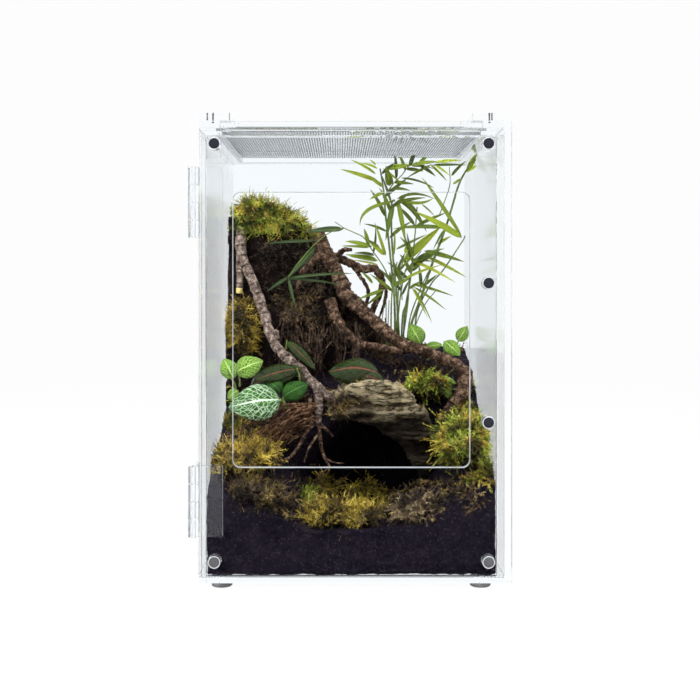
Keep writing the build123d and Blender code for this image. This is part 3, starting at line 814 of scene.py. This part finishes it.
moss = {"leaf": 1.45, "stem": 0.34, "nodes": 7, "reach": 1.1, "fullness": 1.15,
        "curl": 0.95, "lean": 1.2, "lowest": -0.35, "gapSize": 8.0, "cushionSink": 3.0,
        "loose": 1500}
mossHues = {  # from the depth of a clump, darkened partly by painted shade, to its tips
    "gold": ((0.040, 0.028, 0.007), (0.19, 0.135, 0.022), (0.60, 0.44, 0.045), (1.0, 0.86, 0.19)),
    "ochre": ((0.018, 0.012, 0.004), (0.105, 0.070, 0.013), (0.40, 0.275, 0.030),
              (0.92, 0.70, 0.13)),
    "lime": ((0.018, 0.020, 0.004), (0.090, 0.105, 0.010), (0.27, 0.33, 0.022),
             (0.66, 0.70, 0.13)),
    "brown": ((0.012, 0.008, 0.005), (0.064, 0.040, 0.016), (0.22, 0.14, 0.040),
              (0.58, 0.42, 0.14)),
    "tan": ((0.012, 0.008, 0.006), (0.070, 0.045, 0.024), (0.27, 0.18, 0.090),
            (0.66, 0.50, 0.27)),
    "umber": ((0.008, 0.005, 0.004), (0.030, 0.018, 0.012), (0.085, 0.052, 0.032),
              (0.22, 0.14, 0.080)),
}


def surfaceOf(*meshes):
    corners, faces = joined([([v.co.copy() for v in mesh.vertices],
                              [tuple(p.vertices) for p in mesh.polygons]) for mesh in meshes])
    return BVHTree.FromPolygons(corners, faces)


def onGround(spot, up):  # not on the sides of the soil against the case
    edge = min(spot.x - roomLow.x, roomHigh.x - spot.x, roomHigh.y - spot.y)
    return edge > 1.5 * mm and (up.z > 0.3 or edge > 6 * mm)


def spotsFromAbove(surface, count, x0, x1, y0, y1, keep):
    spots, ups = [], []
    for _ in range(count):
        x, y = dice.uniform(x0, x1), dice.uniform(y0, y1)
        spot, up, _, _ = surface.ray_cast(atCase(x, y, 290), Vector((0, 0, -1)))
        if spot is not None and onGround(spot, up) and keep(x, y):
            spots.append(spot)
            ups.append(up)
    return spots, ups


def spotsInView(surface, count, outline):  # where an outline on the photograph meets the ground
    pixels = np.array(outline, float)
    low, high = pixels.min(0), pixels.max(0)
    spots, ups = [], []
    for _ in range(count * 12):
        px, py = dice.uniform(low[0], high[0]), dice.uniform(low[1], high[1])
        inside = False
        for (ax, ay), (bx, by) in zip(outline, outline[1:] + outline[:1]):
            if (ay > py) != (by > py) and px < ax + (py - ay) * (bx - ax) / (by - ay):
                inside = not inside
        if not inside or noise.noise(Vector((px, py, 3)) / 13) < -0.12:
            continue
        way = (atPixel(px, py, 100) - atPixel(px, py, 5)).normalized()
        spot, up, _, _ = surface.ray_cast(atPixel(px, py, 5.5), way)
        if spot is not None and onGround(spot, up):
            spots.append(spot)
            ups.append(up)
        if len(spots) == count:
            break
    return spots, ups


def spotsOn(mesh, count):  # over the upward parts of a mesh, with gaps
    mesh.calc_loop_triangles()
    corners = np.array([[mesh.vertices[i].co[:] for i in t.vertices] for t in
                        mesh.loop_triangles])
    a, b = corners[:, 1] - corners[:, 0], corners[:, 2] - corners[:, 0]
    out = np.cross(a, b)
    area = np.linalg.norm(out, axis=1)
    out /= np.maximum(area, 1e-15)[:, None]
    area[out[:, 2] < moss["lowest"]] = 0
    bare = [noise.noise(Vector(c) / (moss["gapSize"] * mm)) < -0.16 for c in corners.mean(1)]
    area[np.array(bare)] *= 0.15
    chosen = dice.choice(len(area), count, p=area / area.sum())
    u, v = dice.random(count), dice.random(count)
    over = u + v > 1
    u[over], v[over] = 1 - u[over], 1 - v[over]
    spots = corners[chosen, 0] + a[chosen] * u[:, None] + b[chosen] * v[:, None]
    return list(spots), list(out[chosen])


def unit(rows):
    return rows / np.maximum(np.linalg.norm(rows, axis=-1, keepdims=True), 1e-12)


def sprigMesh(name, spots, ups, length):
    length, leaf = length * moss["reach"] * mm, moss["leaf"] * mm
    spots, ups = np.array([tuple(s) for s in spots]), unit(np.array([tuple(u) for u in ups]))
    ups[:, 2] += 0.2
    count, nodes = len(spots), moss["nodes"]
    way = unit(ups + dice.normal(0, moss["lean"], (count, 3)))
    sag = np.clip(dice.normal(0, moss["curl"], (count, 3)), -1.6, 1.6) + (0, 0, -0.35)
    size = length * dice.uniform(0.45, 1.35, count)
    luck = dice.random(count)
    turn = dice.normal(0, 1, (count, 3))
    corners, faces, tint = [], [], []
    total = 0

    def put(quads, shade):
        nonlocal total
        n = quads.shape[1]
        corners.append(quads.reshape(-1, 3))
        first = total + np.arange(count)[:, None] * n
        faces.extend((first + np.arange(n)).tolist())
        tint.append(np.repeat(shade, n))
        total += count * n

    before = spots - way * (0.15 * size)[:, None]
    for k in range(1, nodes + 1):
        t = k / nodes
        heading = unit(way + sag * t)
        spot = spots + way * (size * t)[:, None] + sag * (size * t * t * 0.5)[:, None]
        side = unit(np.cross(heading, turn))
        spin = 0.9 * k
        side = side * math.cos(spin) + np.cross(heading, side) * math.sin(spin)
        wide = side * moss["stem"] * (1.2 - 0.7 * t) * mm
        # partly painted shade: each sprig darkens towards its base deep in the clump, its stem darker
        # still; the paler tips are partly the moss's own colour
        shade = luck * 0.75 + 0.35 * t - 0.05
        put(np.stack([before - wide, before + wide, spot + wide, spot - wide], 1), shade * 0.8)
        for hand in (1, -1):
            out = unit(heading * 0.75 + side * hand)
            reach = leaf * (1.15 - 0.55 * t) * dice.uniform(0.7, 1.2, count)
            tip = spot + out * reach[:, None]
            mid = spot + out * (reach * 0.45)[:, None]
            fat = np.cross(out, np.cross(heading, side)) * (reach * 0.2)[:, None]
            put(np.stack([spot, mid + fat, tip, mid - fat], 1), shade)
        before = spot
    points = heldInRoom(np.concatenate(corners), 0.06)
    return meshOf(name, points, faces, {"tint": np.concatenate(tint)})


def mossPaint(name, first, second=None, share=0.5):  # one hue, or two that meet in patches
    paint = Paint(name)
    patch = paint.stretch(paint.grain(0.015, 3.0), 0.36, 0.64)
    tint = paint.spread("tint") * 0.75 + patch * 0.62 - 0.24
    hues = [paint.ramp(tint, *zip((0.1, 0.35, 0.62, 0.92), mossHues[hue]))
            for hue in (first, second or first)]
    edge = 0.39 + share * 0.3  # the first hue lies where the noise is under this
    where = paint.stretch(paint.grain(0.011, 2.0) + paint.spread("tint") * 0.08,
                          edge + 0.03, edge - 0.03)
    return paint.finish({"Base Color": paint.mix(where, hues[1], hues[0]) if second else hues[0],
                         "Roughness": 0.72, "Specular IOR Level": 0.1, "Sheen Weight": 0.15})


def cushionMesh(node):  # what lies under the sprigs
    mesh = evenMesh(node, 1.4)
    points, _ = readMesh(mesh)
    return roughen(mesh, waves(points, 7) * 1.6 + waves(points, 2.4) * 0.7 - moss["cushionSink"])


def makeMoss():
    land = surfaceOf(soilMesh, peatMesh, barkMesh)
    # partly painted shade: the dark bed under the sprigs is partly old brown moss, partly shade between
    # the sprigs
    under = soilPaint("mossUnder", (0.008, 0.006, 0.004), (0.034, 0.024, 0.010),
                      (0.16, 0.12, 0.035), (0.080, 0.058, 0.018))
    gold = mossPaint("goldenMoss", "gold", "lime", 0.45)
    ochre = mossPaint("ochreMoss", "ochre", "brown", 0.7)
    lime = mossPaint("limeMoss", "lime", "ochre", 0.75)
    mixed = mossPaint("mixedMoss", "lime", "ochre", 0.55)
    brown = mossPaint("brownMoss", "brown", "umber", 0.6)
    bright, fresh = mossPaint("brightMoss", "gold"), mossPaint("freshMoss", "lime")
    umber, pale = mossPaint("umberMoss", "umber"), mossPaint("paleMoss", "tan", "umber", 0.75)
    clumps = {
        "mound_moss": (gold, 2300, 6.6), "left_moss": (ochre, 1000, 5.5),
        "lower_left_moss": (ochre, 1500, 6.0), "right_moss": (mixed, 1700, 7.0),
        "centre_moss": (lime, 700, 5.0), "front_left_moss": (brown, 600, 6.5),
        "front_middle_moss": (ochre, 900, 6.5), "front_right_moss": (pale, 600, 6.5),
    }
    for node, (paint, count, length) in clumps.items():
        cushion = cushionMesh(node)
        if node == "mound_moss":  # it hangs down the slope of the mound
            points, _ = readMesh(cushion)
            points[:, 2] -= np.clip((points[:, 0] - atCase(-78, 0, 0).x) * 0.34, 0, 14 * mm)
            cushion.vertices.foreach_set("co", points.ravel())
            cushion.update()
        addPiece(node + "_cushion", cushion, under, "root", True, [node])
        spots, ups = spotsOn(cushion, int(count * moss["fullness"]))
        addPiece(node + "_sprigs", sprigMesh(node, spots, ups, length), paint, "root", True,
                 ())
    patches = {  # outlines on the photograph, the moss there and how much
        "mound_crest": ([(232, 196), (262, 194), (298, 208), (334, 234), (318, 240), (280, 232),
                         (233, 232)], lime, 520, 5.8),
        "mound_face": ([(276, 292), (312, 296), (333, 312), (328, 330), (300, 318), (278, 322)],
                       brown, 420, 4.4),
        "left_bank": ([(212, 420), (232, 415), (268, 425), (290, 440), (262, 468), (212, 470)],
                      ochre, 520, 5.0),
        "left_edge": ([(217, 392), (231, 384), (244, 416), (238, 436), (210, 436)], mixed, 330,
                      5.0),
        "right_bank": ([(470, 372), (492, 400), (498, 470), (470, 486), (442, 470), (440, 440)],
                       mixed, 950, 5.2),
        "front_bank": ([(226, 472), (300, 478), (380, 482), (470, 476), (494, 500), (440, 522),
                        (330, 520), (232, 520)], brown, 900, 4.6),
        "golden_clump": ([(350, 484), (372, 482), (390, 496), (384, 514), (354, 514)], bright,
                         420, 7.0),
        "golden_wisps": ([(318, 478), (350, 480), (352, 500), (330, 500)], ochre, 260, 6.5),
        "left_front": ([(207, 430), (224, 426), (228, 470), (207, 474)], mixed, 260, 5.0),
        "right_front": ([(484, 430), (497, 440), (498, 486), (484, 490)], mixed, 240, 5.0),
        "log_moss": ([(262, 400), (302, 392), (318, 402), (302, 430), (266, 462), (242, 452)],
                     brown, 520, 4.6),
        "bark_edge": ([(322, 390), (344, 384), (353, 396), (350, 414), (326, 416)], brown, 260,
                      4.2),
        "palm_foot": ([(374, 338), (384, 330), (410, 332), (418, 346), (400, 352)], brown, 200,
                      4.2),
        "bright_clump": ([(298, 488), (318, 488), (322, 514), (304, 512)], fresh, 220, 5.5),
        "mound_litter": ([(256, 240), (318, 238), (336, 262), (346, 300), (352, 340), (300, 352),
                          (272, 320)], umber, 1000, 5.0),
        "root_litter": ([(340, 318), (372, 330), (398, 346), (440, 362), (452, 376), (404, 380),
                         (384, 362), (350, 356)], umber, 700, 4.6),
    }
    for name, (outline, paint, count, length) in patches.items():
        spots, ups = spotsInView(land, int(count * moss["fullness"]), outline)
        addPiece(name, sprigMesh(name, spots, ups, length), paint, "root", True, ())
    spots, ups = spotsFromAbove(land, moss["loose"], -94, 94, 6, 194,
                                lambda x, y: noise.noise(Vector((x, y, 0)) / 22) > 0.02)
    addPiece("loose_moss", sprigMesh("loose_moss", spots, ups, 4.2), brown, "root", True, ())


def leafBlade(base, tip, width, facing, cup=0.1, droop=0.06, rows=12, cols=8, belly=0.8):
    base, tip, facing = Vector(base), Vector(tip), Vector(facing)
    run = tip - base
    size, ahead = run.length, run.normalized()
    across = facing.cross(ahead).normalized()
    up = ahead.cross(across).normalized()
    if up.dot(facing) < 0:
        up = -up
    corners, alongs, asides = [], [], []
    for i in range(rows + 1):
        u = i / rows
        half = width * 0.5 * max(0.03, math.sin(math.pi * u ** belly) ** 0.75)
        for k in range(cols + 1):
            v = 2 * k / cols - 1
            rise = up * (width * cup * (1 - v * v) * math.sin(math.pi * min(1, u + 0.1))
                         - size * droop * (2 * u - 1) ** 2)
            corners.append(base + run * u + across * (v * half) + rise)
            alongs.append(u)
            asides.append(v)
    faces = [(i * (cols + 1) + k, i * (cols + 1) + k + 1, (i + 1) * (cols + 1) + k + 1,
              (i + 1) * (cols + 1) + k) for i in range(rows) for k in range(cols)]
    return corners, faces, alongs, asides


def veinedPaint(name, dark, green, vein, veins=7, width=0.11, net=0.5, gloss=0.36):
    paint = Paint(name)
    u, v = paint.spread("alongLeaf"), abs(paint.spread("acrossLeaf"))
    phase = paint.maths("FRACT", (u - v * 0.42) * veins + 0.5)
    side = paint.stretch(abs(phase - 0.5), width, width * 0.35)
    rib = paint.stretch(v, 0.075, 0.025)
    flat = paint.node("CombineXYZ", None, {"X": u * 9.0, "Y": paint.spread("acrossLeaf") * 4.5})
    mesh = paint.node("TexVoronoi", {"feature": "DISTANCE_TO_EDGE"},
                      {"Vector": flat, "Scale": 1.0}, "Distance")
    fine = paint.stretch(mesh, 0.085, 0.02) * net
    lines = paint.clamped(side + rib + fine)
    tone = paint.ramp(paint.grain(0.006) * 0.8 + paint.grain(0.0015) * 0.3, (0.35, dark),
                      (0.7, green))
    tone = paint.mix(lines, tone, vein)
    return paint.finish({"Base Color": tone, "Roughness": gloss, "Specular IOR Level": 0.3,
                         "Normal": paint.bump(1 - lines, 0.0005, 0.7)})


def thicken(piece, thickness):
    thick = piece.modifiers.new("thick", "SOLIDIFY")
    thick.thickness, thick.offset = thickness * mm, 0


def addLeaves(name, leaves, paint, stands):
    pieces, alongs, asides = [], [], []
    for base, tip, width, facing, extra in leaves:
        corners, faces, u, v = leafBlade(base, tip, width * mm, facing, **extra)
        pieces.append((corners, faces))
        alongs += u
        asides += v
    corners, faces = joined(pieces)
    piece = addPiece(name, meshOf(name, corners, faces,
                                  {"alongLeaf": alongs, "acrossLeaf": asides}),
                     paint, "root", True, stands)
    thicken(piece, 0.25)


def makeLeafyPlants():
    white = veinedPaint("whiteVeined", (0.010, 0.052, 0.004), (0.040, 0.14, 0.010),
                        (0.60, 0.72, 0.54), 8, 0.055, 0.62)
    red = veinedPaint("redVeined", (0.004, 0.014, 0.004), (0.014, 0.045, 0.008),
                      (0.22, 0.060, 0.042), 6, 0.030, 0.10, 0.22)
    fresh = veinedPaint("freshVeined", (0.034, 0.105, 0.003), (0.125, 0.265, 0.008),
                        (0.46, 0.60, 0.20), 7, 0.055, 0.6)
    deep = veinedPaint("deepVeined", (0.004, 0.018, 0.003), (0.020, 0.080, 0.005),
                       (0.065, 0.16, 0.035), 7, 0.05, 0.3)
    front, high = (0, -1, 0.45), (0, -0.6, 1)

    def leaf(x0, y0, d0, x1, y1, d1, width, facing=front, **extra):
        return (atPixel(x0, y0, d0), atPixel(x1, y1, d1), width, facing, extra)

    addLeaves("white_veined_leaves", [
        leaf(281, 399, 62, 229, 406, 56, 27, cup=0.13),
    ], white, ["white_fittonia"])
    addLeaves("dark_veined_leaves", [
        leaf(297, 368, 84, 254, 379, 76, 12, cup=0.15),
        leaf(287, 340, 112, 316, 369, 98, 8, cup=0.1),
        leaf(379, 373, 93, 328, 370, 98, 23, (0, -1, 0.6), cup=0.3),
        leaf(358, 376, 92, 385, 381, 90, 14, cup=0.3),
        leaf(250, 386, 84, 302, 366, 88, 18, (0, -1, 0.5), cup=0.2),
    ], red, ["red_fittonia"])
    addLeaves("deep_green_leaves", [
        leaf(283, 397, 74, 308, 383, 80, 15, cup=0.2),
        leaf(281, 392, 76, 268, 380, 80, 12, cup=0.2),
    ], deep, ())
    addLeaves("fresh_veined_leaves", [
        leaf(236, 372, 80, 263, 360, 84, 17, cup=0.12),
        leaf(234, 378, 78, 224, 358, 84, 13, cup=0.15),
        leaf(421, 344, 134, 410, 324, 137, 14, (0, -1, 0.1)),
        leaf(425, 347, 138, 442, 344, 136, 7),
        leaf(444, 341, 138, 460, 355, 132, 12),
        leaf(458, 341, 140, 467, 326, 142, 10),
        leaf(412, 346, 130, 402, 342, 133, 5),
        leaf(437, 375, 112, 409, 391, 104, 10, cup=0.3),
        leaf(438, 377, 112, 456, 383, 108, 6, cup=0.3),
        leaf(444, 384, 107, 448, 398, 103, 6, cup=0.2),
        leaf(238, 390, 64, 228, 398, 62, 8),
    ], fresh, ["green_fittonia"])
    stalk = Paint("softStalk")
    stalk.finish({"Base Color": stalk.twoTone(stalk.grain(0.004), (0.10, 0.15, 0.03),
                                              (0.26, 0.33, 0.08)), "Roughness": 0.6})
    stalks = []
    for spot, foot in (((281, 399, 62), (286, 408, 70)), ((238, 372, 80), (240, 386, 84)),
                       ((231, 377, 78), (236, 388, 84)), ((297, 368, 84), (300, 384, 88)),
                       ((287, 340, 112), (284, 352, 114)), ((376, 370, 96), (372, 388, 96)),
                       ((357, 378, 96), (360, 388, 97)), ((283, 397, 74), (285, 408, 76)),
                       ((421, 344, 134), (420, 358, 134)), ((425, 347, 138), (428, 360, 136)),
                       ((444, 341, 138), (442, 358, 138)), ((458, 341, 140), (452, 356, 140)),
                       ((437, 375, 112), (434, 388, 112)), ((467, 326, 142), (458, 341, 140))):
        middle = ((spot[0] + foot[0]) / 2 + 1, (spot[1] + foot[1]) / 2, (spot[2] + foot[2]) / 2)
        stalks.append((pixelPath(spot, middle, foot), [0.5, 0.65, 0.8], 7))
    addLimbs("leaf_stalks", stalks, stalk, ())


def palmDepth(px, py):
    return 150 - 0.13 * (335 - py) - max(0, px - 430) * 0.35 - max(0, 350 - px) * 0.3


palmStems = [  # pixel paths and half widths in millimetres
    ([(395, 352), (395, 335), (394, 295), (389, 245), (385.5, 215), (384, 195), (380, 169)], 1.0),
    ([(399, 352), (399, 337), (396, 290), (392, 245), (391.5, 205), (395, 200)], 0.95),
    ([(384, 197), (386, 194), (389.5, 189), (394, 183), (402, 175), (407, 168), (413, 165),
      (432, 163)], 0.5),
    ([(439, 216), (449, 187), (449, 167)], 0.4),
    ([(408, 350), (411, 325), (420, 300), (431, 267), (441, 240), (447, 223), (453, 203),
      (458, 186), (465, 172), (481.7, 147)], 1.1),
    ([(414, 350), (417, 312), (431, 284), (443, 270), (463, 240), (464, 236)], 0.7),
    ([(401, 352), (402.5, 316), (405.7, 304), (410, 280), (414, 244), (417, 207)], 0.75),
    ([(392, 352), (391, 326), (392, 292), (397, 262)], 0.7),
    ([(396, 352), (397, 320), (399, 280), (404, 256)], 0.75),
    ([(403, 352), (404, 322), (408, 296), (413, 262)], 0.6),
    ([(382, 350), (381, 330), (384, 305)], 0.5),
    ([(386, 352), (386, 326), (386, 298)], 0.5), ([(389, 352), (388, 326), (389, 300)], 0.5),
    ([(404, 350), (404, 316), (409, 284), (412, 260)], 0.5),
    ([(398, 352), (398, 318), (402, 285), (406, 268)], 0.7),
    ([(406, 352), (410, 318), (420, 290), (428, 272)], 0.6),
    ([(400, 352), (404, 330), (408, 300), (409, 275)], 0.7),
    ([(411, 350), (414, 330), (424, 306), (436, 290)], 0.5),
    ([(388, 352), (387, 335), (385, 318)], 0.6),
    ([(394, 300), (393, 290), (384, 268), (372, 250), (364, 238), (355, 233), (344, 228),
      (335, 222)], 0.55),
    ([(402, 300), (402, 278), (421, 251)], 0.45),
    ([(344, 228), (331, 232), (316, 243), (301, 260), (288, 277)], 0.45),
]
palmLeaflets = [  # base, tip and width on the photograph, and a point on the way
    (378, 168, 362.8, 163, 4), (376.5, 173.5, 351.7, 159.4, 4.5), (379, 181, 341, 169, 5),
    (376, 165, 370, 160, 3), (383, 192, 370, 199, 4), (395, 200, 359.4, 225, 5, 368, 210),
    (393, 203, 385.5, 240, 6), (398, 201, 405.7, 243, 5.5), (397, 198, 435, 198, 4, 415, 194),
    (399, 199, 434, 197, 4, 419, 203), (401, 201, 427, 232, 7, 413, 210),
    (422, 204, 435, 216, 2), (390, 187, 386, 167, 8), (385, 168.5, 413, 165, 6),
    (411, 165, 437, 161, 6), (393, 182, 413, 184, 4), (383, 168, 403, 185, 2.5),
    (430, 165, 406, 178, 3), (430, 164, 447, 181, 3), (435, 162, 461, 160, 4),
    (435, 165, 449, 175, 3), (450, 176, 465, 161, 4), (432, 165, 466, 165, 3),
    (463, 236, 422.8, 177, 5, 440, 203), (463, 237, 416, 211, 8), (445, 226, 394, 227, 6),
    (404, 260, 440, 227, 10), (396, 249, 427, 234, 3), (405, 253, 409, 241, 5),
    (394, 256, 395, 229, 2.5), (386, 256, 374.5, 222, 3.5), (437, 244, 450.5, 236, 4),
    (444, 229, 433, 249, 2.5), (372, 246, 345, 240.5, 5), (369, 247, 341.7, 245.5, 3),
    (375, 258, 345, 254.4, 4.5), (378, 260, 350, 256, 5), (378, 264, 351.7, 259.4, 2.5),
    (380, 247, 365, 238, 3), (385, 255, 368, 240, 5), (373.5, 283, 362.5, 272, 4.5),
    (385, 289, 358, 299, 4), (382, 293, 366, 305, 4), (403, 278, 440, 264, 4),
    (412, 259, 455, 281, 4), (410, 259, 433, 261, 4), (424, 250, 464, 261, 6),
    (425, 255, 467, 277, 4), (412, 283, 453, 295, 3.5), (414, 286, 446, 309, 3),
    (412, 287, 428, 318, 2), (414, 287, 432.5, 322, 2.5), (343, 228, 305, 231, 8),
    (315.5, 240, 265.5, 243, 4), (315.5, 246.7, 287.8, 277.8, 8), (288, 277, 353, 272, 4),
    (288, 277, 344, 284, 3.5), (288, 277, 295.5, 308, 4), (288, 277, 266.7, 291, 4),
    (465, 172, 481.7, 163, 4), (453, 184, 461.7, 178, 3), (466, 171, 481.7, 147, 6),
]


def makePalm():
    stem = Paint("palmStem")
    stem.finish({"Base Color": stem.twoTone(stem.grain(0.01, 3.0), (0.05, 0.085, 0.02),
                                            (0.17, 0.23, 0.05)), "Roughness": 0.5})
    stems = []
    for path, radius in palmStems:
        points = [atPixel(px, py, palmDepth(px, py)) for px, py in path]
        stems.append((points, [radius * (1 - 0.45 * i / len(path)) for i in range(len(path))], 8))
    addLimbs("palm_stems", stems, stem, ["parlour_palm"])
    blade = Paint("palmBlade")
    u, v = blade.spread("alongLeaf"), abs(blade.spread("acrossLeaf"))
    lines = blade.maths("SINE", v * 16.0)
    tone = blade.ramp(blade.spread("tint") * 0.8 + blade.grain(0.012) * 0.25,
                      (0.1, (0.020, 0.040, 0.008)), (0.42, (0.088, 0.135, 0.006)),
                      (0.72, (0.225, 0.290, 0.010)), (0.97, (0.43, 0.47, 0.032)))
    tone = blade.mix(blade.stretch(v, 0.16, 0.06) * 0.3, tone, (0.30, 0.36, 0.14))
    tone = blade.mix(blade.stretch(u, 0.9, 1.0) * 0.4, tone, (0.35, 0.27, 0.10))
    blade.finish({"Base Color": tone, "Roughness": 0.36, "Specular IOR Level": 0.45,
                  "Normal": blade.bump(lines, 0.0001, 0.5)})
    pieces, alongs, asides, tints = [], [], [], []
    for leaflet in palmLeaflets:
        x0, y0, x1, y1, width = leaflet[:5]
        near = palmDepth(x0, y0)
        base = atPixel(x0, y0, near)
        tip = atPixel(x1, y1, near - dice.uniform(-6, 14))
        facing = Vector((dice.uniform(-0.35, 0.35), -1, dice.uniform(0.1, 0.8)))
        corners, faces, a, b = leafBlade(base, tip, width * 0.68 * mm, facing, cup=-0.16,
                                         droop=0.05, rows=10, cols=4, belly=0.62)
        if len(leaflet) > 5:
            middle = atPixel(leaflet[5], leaflet[6], near)
            bend = middle - (base + tip) / 2
            corners = [c + bend * (4 * t * (1 - t)) for c, t in zip(corners, a)]
        pieces.append((corners, faces))
        alongs += a
        asides += b
        over = x0 < 350 and x1 < 360  # those over the mound get painted shade; the lighter tints of the others partly paint light shining through them from behind
        tints += [-0.3 if over else 0.2 + 0.8 * dice.random()] * len(a)
    for path, _ in palmStems:  # more leaflets along the upper part of each stem
        for i in range(1, len(path)):
            (ax, ay), (bx, by) = path[i - 1], path[i]
            if ay > 300 or i < len(path) / 3 or ax < 370 or (ax > 426 and ay > 185):
                continue
            for hand in (-1, 1):
                t, reach = dice.random(), dice.uniform(18, 38)
                px, py = ax + (bx - ax) * t, ay + (by - ay) * t
                turn = math.atan2(by - ay, bx - ax) + hand * dice.uniform(0.35, 1.0)
                near = palmDepth(px, py)
                far = near + dice.uniform(-8, 14)
                base = atPixel(px, py, near)
                tip = atPixel(px + reach * math.cos(turn), py + reach * math.sin(turn) + 4, far)
                facing = Vector((dice.uniform(-0.6, 0.6), -1, dice.uniform(0, 0.8)))
                corners, faces, a, b = leafBlade(base, tip, dice.uniform(1.8, 3.4) * mm, facing,
                                                 cup=-0.16, droop=0.1, rows=8, cols=4, belly=0.6)
                pieces.append((corners, faces))
                alongs += a
                asides += b
                # painted shade: leaflets left of the mound's edge are dark
                tints += [-0.3 if px < 350 else 0.05 + 0.6 * dice.random()] * len(a)
    corners, faces = joined(pieces)
    corners = heldInRoom(np.array([tuple(c) for c in corners]), 0.3)
    piece = addPiece("palm_leaflets", meshOf("palm_leaflets", corners, faces, {
        "alongLeaf": alongs, "acrossLeaf": asides, "tint": tints}), blade, "root", True, ())
    thicken(piece, 0.2)


makeMoss()
makeLeafyPlants()
makePalm()
print("terrarium: moss and plants")
